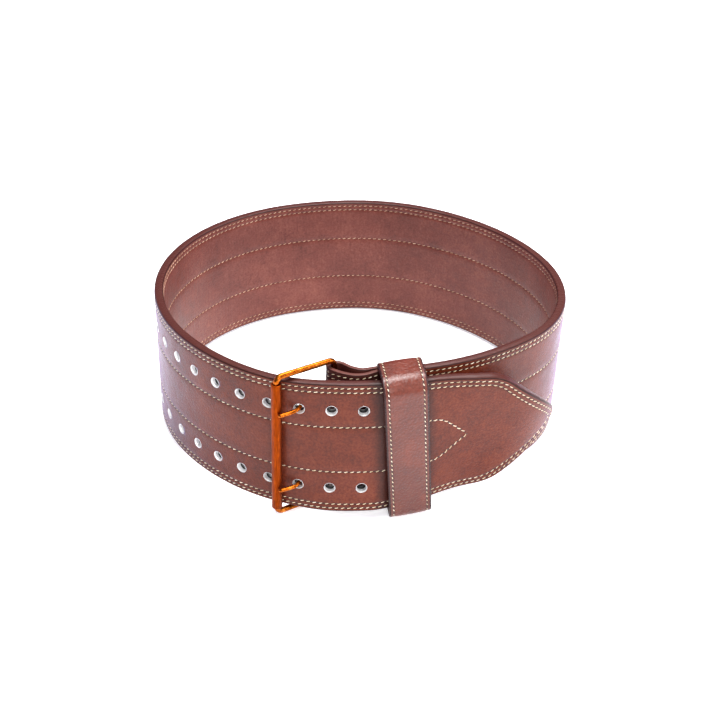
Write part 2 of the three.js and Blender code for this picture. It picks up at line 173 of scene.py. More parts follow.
def strapAxes(s):
    # ahead, out and rise of the strap at distances s
    s = np.atleast_1d(np.asarray(s, float))
    h = np.interp(s, lineS, lineHeading)
    lean = leanAt(s)
    ahead = np.column_stack([np.cos(h), np.sin(h), 0 * h])
    flat = np.column_stack([np.sin(h), -np.cos(h), 0 * h])
    out = flat * np.cos(lean)[:, None] + np.array([0, 0, 1.0]) * np.sin(lean)[:, None] * -1
    rise = np.array([0, 0, 1.0]) * np.cos(lean)[:, None] + flat * np.sin(lean)[:, None]
    return ahead, out, rise


def strapPoint(s, out, height):
    s, out, height = np.broadcast_arrays(*(np.atleast_1d(np.asarray(v, float)) for v in (s, out, height)))
    _, outward, rise = strapAxes(s)
    middle = beltPlan["width"] / 2
    base = np.column_stack([np.interp(s, lineS, lineXY[:, 0]), np.interp(s, lineS, lineXY[:, 1]),
                            np.full(s.shape, middle)])
    return base + outward * out[:, None] + rise * (height - middle)[:, None]


def bendiness(s):
    # 0 where the strap is nearly straight, 1 where it bends tightly
    turn = np.abs(np.gradient(lineHeading, lineS))
    return np.interp(s, lineS, np.clip((turn * 1000 - 6) / 4, 0, 1))


# Mesh helpers
def makeObject(name, verts, faces, uvLayers=None, smooth=True):
    mesh = bpy.data.meshes.new(name)
    mesh.from_pydata([tuple(v) for v in verts], [], [tuple(int(i) for i in f) for f in faces])
    if smooth:
        mesh.polygons.foreach_set("use_smooth", [True] * len(mesh.polygons))
    for layer, values in (uvLayers or {}).items():
        uv = mesh.uv_layers.new(name=layer)
        corner = np.zeros(len(mesh.loops), np.int32)
        mesh.loops.foreach_get("vertex_index", corner)
        uv.data.foreach_set("uv", np.asarray(values, np.float32)[corner].ravel())
    mesh.validate()
    mesh.update()
    item = bpy.data.objects.new(name, mesh)
    bpy.context.scene.collection.objects.link(item)
    return item


def ringFaces(rings, count, runsRound=False, first=0):
    # quads between rings of count points each
    faces = []
    for r in range(rings if runsRound else rings - 1):
        near, far = first + r * count, first + ((r + 1) % rings) * count
        for k in range(count):
            n = (k + 1) % count
            faces.append((near + k, near + n, far + n, far + k))
    return faces


def sweepRound(points, radius, sides, runsRound=False, firstAxis=(0, 0, 1), capped=True):
    # round wire along points in mm; returns vertices and faces
    p = np.asarray(points, float)
    travel = np.gradient(p, axis=0)
    if runsRound:
        travel = np.roll(p, -1, axis=0) - np.roll(p, 1, axis=0)
    travel /= np.linalg.norm(travel, axis=1)[:, None]
    side = np.cross(travel, np.asarray(firstAxis, float))
    side /= np.linalg.norm(side, axis=1)[:, None]
    other = np.cross(side, travel)
    radii = np.broadcast_to(np.asarray(radius, float), (len(p),))
    angle = np.arange(sides) * 2 * math.pi / sides
    verts = [c + r * (math.cos(a) * u + math.sin(a) * v) for c, u, v, r in zip(p, side, other, radii) for a in angle]
    faces = ringFaces(len(p), sides, runsRound)
    if capped and not runsRound:
        last = (len(p) - 1) * sides
        faces += [tuple(range(sides - 1, -1, -1)), tuple(range(last, last + sides))]
    return verts, faces


def turnFacesOut(item):
    bm = bmesh.new()
    bm.from_mesh(item.data)
    bmesh.ops.recalc_face_normals(bm, faces=bm.faces)
    bm.to_mesh(item.data)
    bm.free()


def cutWith(item, cutter):
    # boolean cut, applied to the mesh
    change = item.modifiers.new("cut", "BOOLEAN")
    change.operation, change.solver, change.object = "DIFFERENCE", "EXACT", cutter
    done = bpy.data.meshes.new_from_object(item.evaluated_get(bpy.context.evaluated_depsgraph_get()))
    item.modifiers.clear()
    item.data = done
    bpy.data.objects.remove(cutter)


def settle(item, material, slot, *nodes, body="belt"):
    # material, ride and the CAD nodes that the piece stands for
    item.data.materials.clear()
    item.data.materials.append(material)
    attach(item, body)
    if nodes:
        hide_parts(*nodes)
    return item


# Materials
def colour(hexValue, alpha=1.0):
    # sRGB hex to linear
    parts = [int(hexValue[k:k + 2], 16) / 255 for k in (1, 3, 5)]
    return tuple(c / 12.92 if c <= 0.04045 else ((c + 0.055) / 1.055) ** 2.4 for c in parts) + (alpha,)


def addNode(tree, kind, settings=None, links=None):
    # one node: settings are attributes or socket values, links are nodes or sockets to join
    node = tree.nodes.new(kind)
    sockets = {}
    for key, value in (settings or {}).items():
        if isinstance(key, str) and hasattr(node, key) and key not in node.inputs:
            setattr(node, key, value)
        else:
            sockets[key] = value
    for key, value in sockets.items():
        node.inputs[key].default_value = value
    for key, source in (links or {}).items():
        tree.links.new(source.outputs[0] if isinstance(source, bpy.types.Node) else source, node.inputs[key])
    return node


def newMaterial(name):
    material = bpy.data.materials.new(name)
    material.use_nodes = True
    tree = material.node_tree
    tree.nodes.clear()
    return material, tree


def ramp(node, stops):
    band = node.color_ramp
    while len(band.elements) < len(stops):
        band.elements.new(0.5)
    for element, (place, value) in zip(band.elements, stops):
        element.position = place
        element.color = value


def makeLeather(name, look):
    # Vegetable-tanned cowhide, drum-dyed and waxed: cloudy dye, fine pores, a satin wax coat
    material, tree = newMaterial(name)
    place = addNode(tree, "ShaderNodeTexCoord").outputs["Object"]
    lay = addNode(tree, "ShaderNodeUVMap", {"uv_map": "lay"})
    mark = addNode(tree, "ShaderNodeSeparateXYZ", links={0: addNode(tree, "ShaderNodeUVMap", {"uv_map": "mark"})})
    # UV map: first channel is painted shade in the stitch grooves, and on the keeper the dark line between its two
    # layers; second channel marks the inside face
    grooveShadeSeamSide = addNode(tree, "ShaderNodeSeparateXYZ", links={0: addNode(tree, "ShaderNodeUVMap", {"uv_map": "grooveShadeSeamSide"})})
    # dye clouds, smaller blotches and the finest speckle
    clouds = addNode(tree, "ShaderNodeTexNoise", {"Scale": 1000 / look["cloudMm"], "Detail": 3.0, "Roughness": 0.55},
                     {"Vector": place})
    blotches = addNode(tree, "ShaderNodeTexNoise", {"Scale": 1000 / look["blotchMm"], "Detail": 6.0, "Roughness": 0.65},
                       {"Vector": place})
    speckle = addNode(tree, "ShaderNodeTexNoise", {"Scale": 1000 / 1.6, "Detail": 3.0, "Roughness": 0.7},
                      {"Vector": place})
    dye = addNode(tree, "ShaderNodeMix", {"data_type": "FLOAT", 0: 0.45}, {2: clouds, 3: blotches})
    dyed = addNode(tree, "ShaderNodeMix", {"data_type": "FLOAT", 0: look["speckle"]}, {2: dye.outputs[0], 3: speckle})
    outside = addNode(tree, "ShaderNodeValToRGB", links={0: dyed.outputs[0]})
    ramp(outside, [(0.36, colour(look["dark"])), (0.5, colour(look["mid"])), (0.64, colour(look["light"]))])
    inside = addNode(tree, "ShaderNodeValToRGB", links={0: dyed.outputs[0]})
    ramp(inside, [(0.36, colour(look["innerDark"])), (0.5, colour(look["innerMid"])), (0.64, colour(look["innerLight"]))])
    isInside = addNode(tree, "ShaderNodeMapRange", {1: 0.6, 2: 0.9, 3: 0.0, 4: 1.0}, {0: grooveShadeSeamSide.outputs[1]})
    skinDye = addNode(tree, "ShaderNodeMix", {"data_type": "RGBA"}, {0: isInside, 6: outside.outputs[0], 7: inside.outputs[0]})
    # fine streaks up the leather
    streakPlace = addNode(tree, "ShaderNodeVectorMath", {"operation": "MULTIPLY", 1: (520.0, 70.0, 1.0)}, {0: lay})
    streaks = addNode(tree, "ShaderNodeTexNoise", {"Scale": 1.0, "Detail": 3.0}, {"Vector": streakPlace})
    streaked = addNode(tree, "ShaderNodeMix", {"data_type": "RGBA", "blend_type": "SOFT_LIGHT", 0: look["streaks"]},
                       {6: skinDye.outputs[2], 7: streaks.outputs[0]})
    # painted shade in the stitch grooves: the groove colour laid over the dye where the map's first channel is high
    grooveShaded = addNode(tree, "ShaderNodeMix", {"data_type": "RGBA", 7: colour(look["groove"])},
                      {0: grooveShadeSeamSide.outputs[0], 6: streaked.outputs[2]})
    # burnished edge: a darker waxed band, darkest where it turns into the faces
    rim = addNode(tree, "ShaderNodeMapRange", {1: 0.06, 2: 0.17, 3: 1.0, 4: 0.0}, {0: mark.outputs[0]})
    edged = addNode(tree, "ShaderNodeMix", {"data_type": "RGBA", 7: colour(look["edge"])},
                    {0: rim, 6: grooveShaded.outputs[2]})
    corner = addNode(tree, "ShaderNodeValToRGB", links={0: mark.outputs[0]})
    ramp(corner, [(0.0, (0, 0, 0, 1)), (0.025, (0, 0, 0, 1)), (0.05, (1, 1, 1, 1)), (0.085, (0.6, 0.6, 0.6, 1)),
                  (0.13, (0, 0, 0, 1))])
    cornered = addNode(tree, "ShaderNodeMix", {"data_type": "RGBA", 7: colour(look["corner"])},
                       {0: corner.outputs[0], 6: edged.outputs[2]})
    skinColour = cornered.outputs[2]
    if "keeperShadeAt" in look:
        # painted shade of the keeper on the tongue: the groove colour in a slanted band under the keeper, fading out on
        # both sides of it
        layParts = addNode(tree, "ShaderNodeSeparateXYZ", links={0: lay})
        leant = addNode(tree, "ShaderNodeMath", {"operation": "MULTIPLY_ADD", 1: look["keeperShadeLean"]},
                        {0: layParts.outputs[1], 2: layParts.outputs[0]})
        away = addNode(tree, "ShaderNodeMath", {"operation": "SUBTRACT", 1: look["keeperShadeAt"]}, {0: leant})
        near = addNode(tree, "ShaderNodeMath", {"operation": "ABSOLUTE"}, {0: away})
        keeperShade = addNode(tree, "ShaderNodeMapRange", {"interpolation_type": "SMOOTHSTEP", 1: look["keeperShadeHalf"],
                                                   2: look["keeperShadeHalf"] + look["keeperShadeFade"], 3: look["keeperShade"], 4: 0.0},
                      {0: near})
        skinColour = addNode(tree, "ShaderNodeMix", {"data_type": "RGBA", 7: colour(look["groove"])},
                             {0: keeperShade, 6: skinColour}).outputs[2]
    # pores and pebbles
    pebble = addNode(tree, "ShaderNodeTexVoronoi", {"Scale": 1000 / look["pebbleMm"], "feature": "SMOOTH_F1"},
                     {"Vector": place})
    pores = addNode(tree, "ShaderNodeTexNoise", {"Scale": 1000 / 0.5, "Detail": 3.0, "Roughness": 0.7}, {"Vector": place})
    waves = addNode(tree, "ShaderNodeTexNoise", {"Scale": 1000 / 22, "Detail": 2.0}, {"Vector": place})
    wrinklePlace = addNode(tree, "ShaderNodeVectorMath", {"operation": "MULTIPLY", 1: (420.0, 34.0, 1.0)}, {0: lay})
    wrinkles = addNode(tree, "ShaderNodeTexNoise", {"Scale": 1.0, "Detail": 3.0, "Roughness": 0.6, "Distortion": 0.6},
                       {"Vector": wrinklePlace})
    wrinkled = addNode(tree, "ShaderNodeMath", {"operation": "MULTIPLY"}, {0: wrinkles, 1: mark.outputs[1]})
    bumpWaves = addNode(tree, "ShaderNodeBump", {"Strength": look["waveBump"], "Distance": 0.0022}, {"Height": waves})
    bumpWrinkles = addNode(tree, "ShaderNodeBump", {"Strength": 0.6, "Distance": 0.0011},
                           {"Height": wrinkled, "Normal": bumpWaves})
    bumpPebble = addNode(tree, "ShaderNodeBump", {"Strength": look["pebbleBump"], "Distance": 0.0005},
                         {"Height": pebble.outputs["Distance"], "Normal": bumpWrinkles})
    bumpPores = addNode(tree, "ShaderNodeBump", {"Strength": look["poreBump"], "Distance": 0.0002},
                        {"Height": pores, "Normal": bumpPebble})
    gloss = addNode(tree, "ShaderNodeMapRange", {1: 0.35, 2: 0.65, 3: look["rough"] - 0.05, 4: look["rough"] + 0.07},
                    {0: blotches})
    # the wax coat and its bloom stop where the leather is cut
    coat = addNode(tree, "ShaderNodeMapRange", {1: 0.0, 2: 1.0, 3: look["coat"], 4: 0.0}, {0: rim})
    bare = addNode(tree, "ShaderNodeMath", {"operation": "MAXIMUM"}, {0: rim, 1: isInside})
    bloom = addNode(tree, "ShaderNodeMapRange", {1: 0.0, 2: 1.0, 3: look["sheen"], 4: 0.0}, {0: bare})
    skin = addNode(tree, "ShaderNodeBsdfPrincipled",
                   {"IOR": 1.5, "Specular IOR Level": look["specular"], "Coat Roughness": look["coatRough"],
                    "Coat IOR": 1.5, "Sheen Roughness": 0.3, "Sheen Tint": colour("#b4acff")},
                   {"Base Color": skinColour, "Roughness": gloss, "Normal": bumpPores, "Coat Weight": coat,
                    "Sheen Weight": bloom})
    addNode(tree, "ShaderNodeOutputMaterial", links={"Surface": skin})
    return material


def makeMetal(name, look):
    # Bent wire or rolled sheet: drawn or rolled streaks along it, a thin dulled film over polished metal
    material, tree = newMaterial(name)
    place = addNode(tree, "ShaderNodeTexCoord").outputs["Object"]
    stretched = addNode(tree, "ShaderNodeVectorMath", {"operation": "MULTIPLY", 1: look["streakScale"]}, {0: place})
    streaks = addNode(tree, "ShaderNodeTexNoise", {"Scale": 1.0, "Detail": 4.0, "Roughness": 0.65}, {"Vector": stretched})
    film = addNode(tree, "ShaderNodeTexNoise", {"Scale": 1000 / look["filmMm"], "Detail": 3.0}, {"Vector": place})
    both = addNode(tree, "ShaderNodeMix", {"data_type": "FLOAT", 0: look["filmShare"]}, {2: streaks, 3: film})
    tint = addNode(tree, "ShaderNodeValToRGB", links={0: both.outputs[0]})
    ramp(tint, [(0.32, colour(look["dark"])), (0.52, colour(look["mid"])), (0.7, colour(look["light"]))])
    gloss = addNode(tree, "ShaderNodeMapRange", {1: 0.3, 2: 0.7, 3: look["rough"] - 0.05, 4: look["rough"] + 0.08},
                    {0: both.outputs[0]})
    bump = addNode(tree, "ShaderNodeBump", {"Strength": look["bump"], "Distance": 0.0002}, {"Height": streaks})
    skinTint = tint.outputs[0]
    if "barrelShade" in look:
        # painted shade inside the barrel: near black where the bore lies in the hole's dark
        mark = addNode(tree, "ShaderNodeSeparateXYZ", links={0: addNode(tree, "ShaderNodeUVMap", {"uv_map": "mark"})})
        skinTint = addNode(tree, "ShaderNodeMix", {"data_type": "RGBA", 7: colour(look["barrelShade"])},
                           {0: mark.outputs[0], 6: skinTint}).outputs[2]
    skin = addNode(tree, "ShaderNodeBsdfPrincipled", {"Metallic": look["metallic"]},
                   {"Base Color": skinTint, "Roughness": gloss, "Normal": bump})
    addNode(tree, "ShaderNodeOutputMaterial", links={"Surface": skin})
    return material


def makeThread(name, look):
    # Waxed linen-look polyester thread: matt cream
    material, tree = newMaterial(name)
    place = addNode(tree, "ShaderNodeTexCoord").outputs["Object"]
    twist = addNode(tree, "ShaderNodeTexNoise", {"Scale": 1000 / 0.9, "Detail": 3.0, "Roughness": 0.6}, {"Vector": place})
    soil = addNode(tree, "ShaderNodeTexNoise", {"Scale": 1000 / 9, "Detail": 2.0}, {"Vector": place})
    mixed = addNode(tree, "ShaderNodeMix", {"data_type": "FLOAT", 0: 0.5}, {2: twist, 3: soil})
    tint = addNode(tree, "ShaderNodeValToRGB", links={0: mixed.outputs[0]})
    ramp(tint, [(0.34, colour(look["dark"])), (0.5, colour(look["mid"])), (0.62, colour(look["light"]))])
    bump = addNode(tree, "ShaderNodeBump", {"Strength": 0.4, "Distance": 0.0002}, {"Height": twist})
    skin = addNode(tree, "ShaderNodeBsdfPrincipled", {"Roughness": 0.7, "IOR": 1.5, "Sheen Weight": 0.15},
                   {"Base Color": tint.outputs[0], "Normal": bump})
    addNode(tree, "ShaderNodeOutputMaterial", links={"Surface": skin})
    return material


strapLeather = makeLeather("waxed bridle leather", {
    # painted shade of the keeper on the tongue: place, slant, half width, fade and strength of the band
    "keeperShadeAt": 0.4665, "keeperShadeLean": 0.077, "keeperShadeHalf": 0.0145, "keeperShadeFade": 0.0095, "keeperShade": 0.72,
    # groove: painted shade colour, for the stitch grooves and the band beside the keeper
    "dark": "#45190b", "mid": "#5d2512", "light": "#73351f", "groove": "#1a0a07", "edge": "#43201b", "corner": "#1c0a08",
    "innerDark": "#4f251e", "innerMid": "#65332b", "innerLight": "#7a4439",
    "cloudMm": 45, "blotchMm": 9, "speckle": 0.45, "pebbleMm": 1.3, "pebbleBump": 0.3, "poreBump": 0.5,
    "waveBump": 0.3, "streaks": 0.2, "rough": 0.36, "specular": 0.16, "coat": 0.08, "coatRough": 0.2, "sheen": 0.3})
# painted shade: the fold's leather is dyed darker than the strap's to stand in for the shade inside the fold
chapeLeather = makeLeather("fold leather in painted shade", {
    # groove: painted shade colour for the stitch grooves
    "dark": "#32140f", "mid": "#451e18", "light": "#582a22", "groove": "#1a0a07", "edge": "#552e27", "corner": "#1c0a08",
    "innerDark": "#40211d", "innerMid": "#532f2a", "innerLight": "#633a32",
    "cloudMm": 30, "blotchMm": 8, "speckle": 0.4, "pebbleMm": 1.3, "pebbleBump": 0.3, "poreBump": 0.5,
    "waveBump": 0.2, "streaks": 0.15, "rough": 0.42, "specular": 0.2, "coat": 0.05, "coatRough": 0.3, "sheen": 0.1})
keeperLeather = makeLeather("pebbled harness leather", {
    # groove: painted shade colour for the stitch grooves
    "dark": "#47180d", "mid": "#5c2414", "light": "#71301e", "groove": "#1a0a07", "edge": "#35100c", "corner": "#1c0a08",
    "innerDark": "#40211d", "innerMid": "#532f2a", "innerLight": "#633a32",
    "cloudMm": 30, "blotchMm": 8, "speckle": 0.35, "pebbleMm": 1.6, "pebbleBump": 1.0, "poreBump": 0.8,
    "waveBump": 0.3, "streaks": 0.08, "rough": 0.38, "specular": 0.3, "coat": 0.3, "coatRough": 0.2, "sheen": 0.0})
wireMetal = makeMetal("copper-gold plated steel wire", {
    "dark": "#6a2c04", "mid": "#a85614", "light": "#d88e3c", "rough": 0.26, "metallic": 1.0, "filmMm": 5,
    "filmShare": 0.5, "streakScale": (900.0, 900.0, 60.0), "bump": 0.2})
rollerMetal = makeMetal("rolled copper sheet", {
    "dark": "#4c1b02", "mid": "#7a2f04", "light": "#a64c0e", "rough": 0.42, "metallic": 1.0, "filmMm": 5,
    "filmShare": 0.2, "streakScale": (2300.0, 2300.0, 110.0), "bump": 0.5})
eyeletMetal = makeMetal("bright nickel-plated brass", {
    # the barrel colour is painted shade for the dark inside of the hole
    "dark": "#e2e0dd", "mid": "#f1f0ee", "light": "#ffffff", "barrelShade": "#0a0706", "rough": 0.4, "metallic": 0.55,
    "filmMm": 4, "filmShare": 0.5, "streakScale": (600.0, 600.0, 600.0), "bump": 0.05})
creamThread = makeThread("waxed cream thread", {"dark": "#b09873", "mid": "#e2d0ab", "light": "#f8edd6"})
goldThread = makeThread("waxed golden thread", {"dark": "#8d644c", "mid": "#b58a6e", "light": "#cda88c"})
# painted shade: near-black discs put where the needle holes lie dark
needleHoleShade = makeThread("needle hole shade", {"dark": "#120705", "mid": "#1c0c09", "light": "#28120e"})
print("stage: materials made")


# Strap: body and tongue

strap = {
    "step": 2.2,
    "tipLength": 54.0,
    "noseRadius": 13.0,
    "shoulderRadius": 28.0,
    "edgeRound": 1.5,
    "rowInsets": (3.0, 6.3),  # double rows of stitches, from the edge
    "singleRow": 17.5,  # single rows, from the middle
    "singleEnd": 95.0,  # where the single rows leave the straight, from the tip
    "apex": (67.4, 51.5),
    "grooveDepth": 0.32,
    "grooveHalf": 0.55,
    "lapLength": 22.0,
    "lapHalf": 1.3,
    "wallBulge": 0.25,
}


def tipHalfHeight(back):
    back = np.maximum(np.asarray(back, float), 0)
    half, nose, shoulderR = beltPlan["width"] / 2, strap["noseRadius"], strap["shoulderRadius"]
    slope = math.atan2(half, strap["tipLength"])
    apex = nose / math.sin(slope) - nose
    noseEnd = nose * (1 - math.sin(slope))
    shoulder = half / math.tan(slope) - apex
    soft = shoulderR * math.tan(slope / 2)
    start, end = shoulder - soft * math.cos(slope), shoulder + soft
    height = np.where(back <= noseEnd, np.sqrt(np.maximum(nose ** 2 - (nose - back) ** 2, 0)),
                      (back + apex) * math.tan(slope))
    arc = half - shoulderR + np.sqrt(np.maximum(shoulderR ** 2 - (end - back) ** 2, 0))
    height = np.where(back > start, arc, height)
    return np.where(back >= end, half, height)


def tipOutline():
    # the outline round the tip as (distance along, height from the middle), from the top edge to the bottom
    back = np.concatenate([np.arange(110, 12, -0.5), 12 * np.linspace(1, 0, 60) ** 2])
    upper = np.column_stack([tongueLength - back, tipHalfHeight(back)])
    return np.vstack([upper, (upper * [1, -1])[-2::-1]])


outline = tipOutline()


def edgeDistance(s, h):
    # distance to the nearest edge of the leather, h from the middle
    straight = beltPlan["width"] / 2 - np.abs(h)
    near = s > tongueLength - 100
    found = straight.copy()
    if near.any():
        points = np.column_stack([s[near], h[near]])
        found[near] = np.array([np.sqrt(((outline - p) ** 2).sum(1)).min() for p in points])
    return np.minimum(found, np.where(near, found, straight))


def groovesAt(e, s, h):
    # how deep the stitch rows pull the leather in, 0 to 1
    groove = sum(np.exp(-((e - inset) / strap["grooveHalf"]) ** 2) for inset in strap["rowInsets"])
    fade = np.clip((tongueLength - strap["singleEnd"] - s) / 6, 0, 1)
    return groove + fade * np.exp(-((np.abs(h) - strap["singleRow"]) / strap["grooveHalf"]) ** 2)


def faceHalf(e):
    # half the thickness at a distance from the edge, its corner rounded over
    r, half = strap["edgeRound"], beltPlan["thickness"] / 2
    inside = np.minimum(e, r)
    return half - r + np.sqrt(np.maximum(r * r - (r - inside) ** 2, 0))


def strapFaceOut(s, h):
    # how far the strap's face lies from its middle, h from the middle
    s, h = np.broadcast_arrays(np.atleast_1d(np.asarray(s, float)), np.atleast_1d(np.asarray(h, float)))
    e = edgeDistance(s, h)
    return faceHalf(e) - strap["grooveDepth"] * groovesAt(e, s, h)


def buildStrap():
    half = beltPlan["width"] / 2
    edgeLines = np.array([0, 0.12, 0.45, 0.9, 1.5, 2.2, 2.6, 3.0, 3.4, 3.8, 5.5, 5.9, 6.3, 6.7, 7.1, 9.0])
    innerLines = np.array([38, 34, 30, 26, 22, 18.4, 17.9, 17.5, 17.1, 16.6, 12, 6, 0])
    innerLines = np.concatenate([innerLines, -innerLines[-2::-1]])
    lapEnd = strap["lapLength"] - bodyLength
    straightEnd = tongueLength - 72
    steps = int((straightEnd - lapEnd) / strap["step"])
    distances = list(np.linspace(-bodyLength, lapEnd, 6)) + list(np.linspace(lapEnd + 0.3, straightEnd, steps))
    distances += list(tongueLength - 72 * np.linspace(1, 0.035, 56)[1:] ** 2)
    verts, lay, mark, grooveShadeSeamSide = [], [], [], []
    for s in distances:
        top = float(tipHalfHeight(tongueLength - s))
        ahead = float(tipHalfHeight(tongueLength - s + 0.5))
        stretch = math.hypot(1, (ahead - top) / 0.5)
        squeeze = min(1, 0.86 * top / (edgeLines[-1] * stretch))
        edge = top - edgeLines * stretch * squeeze
        inner = innerLines * edge[-1] / (half - edgeLines[-1])
        lines = np.concatenate([edge, inner, -edge[::-1]])
        onTip = s > tongueLength - 100
        if not onTip:
            lines = np.concatenate([edge, innerLines, -edge[::-1]])
        here = np.full(lines.shape, s)
        e = edgeDistance(here, lines)
        groove = groovesAt(e, here, lines)
        out = faceHalf(e) - strap["grooveDepth"] * groove
        if s <= lapEnd:
            out = np.minimum(out, strap["lapHalf"])
            groove = groove * 0
        crease = float(bendiness(s)) * np.ones(lines.shape)
        wall = float(out[0]) * np.array([-0.35, 0.35])
        bulge = strap["wallBulge"]
        ring = [(here, out, lines, e, crease * 0.15, groove, 0.0)]
        ring.append((here[:2], -wall, np.full(2, -top - bulge), 0 * wall, 0 * wall, 0 * wall, 0.5))
        ring.append((here, -out[::-1], lines[::-1], e[::-1], crease, groove[::-1], 1.0))
        ring.append((here[:2], wall, np.full(2, top + bulge), 0 * wall, 0 * wall, 0 * wall, 0.5))
        for sPart, oPart, hPart, ePart, cPart, gPart, inside in ring:
            verts.append(strapPoint(sPart, oPart, hPart + half))
            lay.append(np.column_stack([sPart / 1000, hPart / 1000]))
            mark.append(np.column_stack([np.clip(ePart / 10, 0, 1), cPart]))
            # painted shade in the stitch grooves, fainter on the inside face; the second value is 1 on the inside face
            grooveShadeSeamSide.append(np.column_stack([gPart * (0.3 if inside == 1 else 0.85), gPart * 0 + inside]))
    verts, lay, mark, grooveShadeSeamSide = (np.vstack(v) for v in (verts, lay, mark, grooveShadeSeamSide))
    count = len(verts) // len(distances)
    faces = ringFaces(len(distances), count)
    n = (count - 4) // 2
    for base in (0, (len(distances) - 1) * count):
        # end caps: quads between the two faces
        outer = list(range(base, base + n))
        inside = list(range(base + 2 * n + 1, base + n + 1, -1))
        cap = [(outer[k], outer[k + 1], inside[k + 1], inside[k]) for k in range(n - 1)]
        cap.append((outer[0], inside[0], base + count - 2, base + count - 1))
        cap.append((outer[-1], base + n, base + n + 1, inside[-1]))
        faces += cap
    item = makeObject("belt_strap", toRow(verts), faces, {"lay": lay, "mark": mark, "grooveShadeSeamSide": grooveShadeSeamSide})
    turnFacesOut(item)
    return item


# Eyelets

eyelet = {
    "pairs": 10,
    "pitch": 20.6,
    "spread": 60.5,
    "lastFromTip": 140.0,
    "bore": 3.07,
    "backBore": 2.75,
    "tube": 3.5,
    "rim": 3.8,
    "rimHigh": 0.2,
    "mouth": 3.58,  # radius where the funnel begins
    "funnel": 3.2,  # its depth
    "sides": 44,
}


def eyeletSeat(pair, row):
    s = tongueLength - eyelet["lastFromTip"] - (eyelet["pairs"] - pair) * eyelet["pitch"]
    height = (beltPlan["width"] + (1 if row == "upper" else -1) * eyelet["spread"]) / 2
    ends = strapPoint([s - eyelet["rim"], s + eyelet["rim"]], 0, height)
    rise = strapAxes(s)[2][0]
    out = np.cross(ends[1] - ends[0], rise)
    return strapPoint(s, 0, height)[0], out / np.linalg.norm(out), rise


def buildEyelet(name, pair, row):
    centre, out, rise = eyeletSeat(pair, row)
    across = np.cross(rise, out)
    seat = beltPlan["thickness"] / 2
    bore, rim, mouth, front = eyelet["bore"], eyelet["rim"], eyelet["mouth"], seat + eyelet["rimHigh"]
    # outer half: deep rounded funnel, thin crown, flange lying on the leather
    funnel = [(bore + (mouth - bore) * share ** 1.6, front - eyelet["funnel"] * (1 - share)) for share in
              (0, 0.25, 0.5, 0.75, 0.92)]
    lip = [(mouth + 0.08, front + 0.03), (mouth + 0.18, front - 0.03), (rim - 0.04, front - 0.18), (rim, seat + 0.08),
           (rim - 0.1, seat - 0.12), (eyelet["tube"], seat - 0.2)]
    # inner half: a flat washer with a smaller bore
    back = eyelet["backBore"]
    washer = [(eyelet["tube"], 0.2 - seat), (rim - 0.1, 0.12 - seat), (rim, -seat - 0.08), (rim - 0.15, -seat - 0.28),
              (back + 0.2, -seat - 0.35), (back, -seat - 0.2), (back, 0.25)]
    profile = [(bore, 0.4)] + funnel + lip + washer
    # painted shade down the bore, strongest on its deepest points
    boreShade = [1.0, 0.6] + [0.0] * (len(profile) - 4) + [0.6, 1.0]
    count = eyelet["sides"]
    verts, mark = [], []
    for k in range(count):
        a = 2 * math.pi * k / count
        radial = math.cos(a) * rise + math.sin(a) * across
        verts += [centre + r * radial + z * out for r, z in profile]
        mark += [(d, 0) for d in boreShade]
    item = makeObject(name, toRow(verts), ringFaces(count, len(profile), True), {"mark": mark})
    turnFacesOut(item)
    return item


def holeCutters():
    verts, faces = [], []
    for pair in range(1, eyelet["pairs"] + 1):
        for row in ("upper", "lower"):
            centre, out, rise = eyeletSeat(pair, row)
            across = np.cross(rise, out)
            first, sides = len(verts), 32
            for depth in (-6.0, 6.0):
                for k in range(sides):
                    a = 2 * math.pi * k / sides
                    radius = eyelet["tube"] + 0.05
                    verts.append(centre + out * depth + radius * (math.cos(a) * rise + math.sin(a) * across))
            faces += ringFaces(2, sides, first=first)
            faces += [tuple(range(first + sides - 1, first - 1, -1)), tuple(range(first + sides, first + 2 * sides))]
    cutter = makeObject("hole_cutters", toRow(verts), faces, smooth=False)
    turnFacesOut(cutter)
    return cutter


beltStrap = buildStrap()
cutWith(beltStrap, holeCutters())
settle(beltStrap, strapLeather, "strap_leather", "strap")
for pairNumber in range(1, eyelet["pairs"] + 1):
    for rowName in ("upper", "lower"):
        nodeName = f"eyelet_{rowName}_{pairNumber:02d}"
        settle(buildEyelet("nickel_" + nodeName, pairNumber, rowName), eyeletMetal, "eyelet_nickel", nodeName)
print("stage: strap and eyelets,", len(beltStrap.data.polygons), "faces on the strap")


# Fold of leather round the rear bar

buckle = {
    "wire": 2.0,
    "rearBar": (-12.21, -116.82),
    "frontBar": (-47.86, -140.38),
    "drop": 6.3,
    "rise": 6.4,
    "bend": 4.2,
    "sleeveGap": 0.4,
    "sleeveWall": 1.15,
    "sleeveEndGap": 0.4,
}
chape = {
    "thickness": 3.0,
    "clearance": 0.35,
    "depth": 10.0,
    "rearLeg": [(0.79, -0.06), (0.55, 0.22), (0.33, 0.03), (0.1, -0.46)],  # share of the way, depths outwards
    "frontLeg": [(0.09, 0.63), (0.27, 0.85), (0.45, 0.91), (0.63, 0.74), (0.8, 0.38)],
    "roundAngles": (132, 182, 232),
    "skive": 1.6,
    "gap": 0.3,
    "lapSteps": 3,
    "edgeRound": 0.8,
    "slotHalf": 2.1,
    "slotReach": 9.0,
}


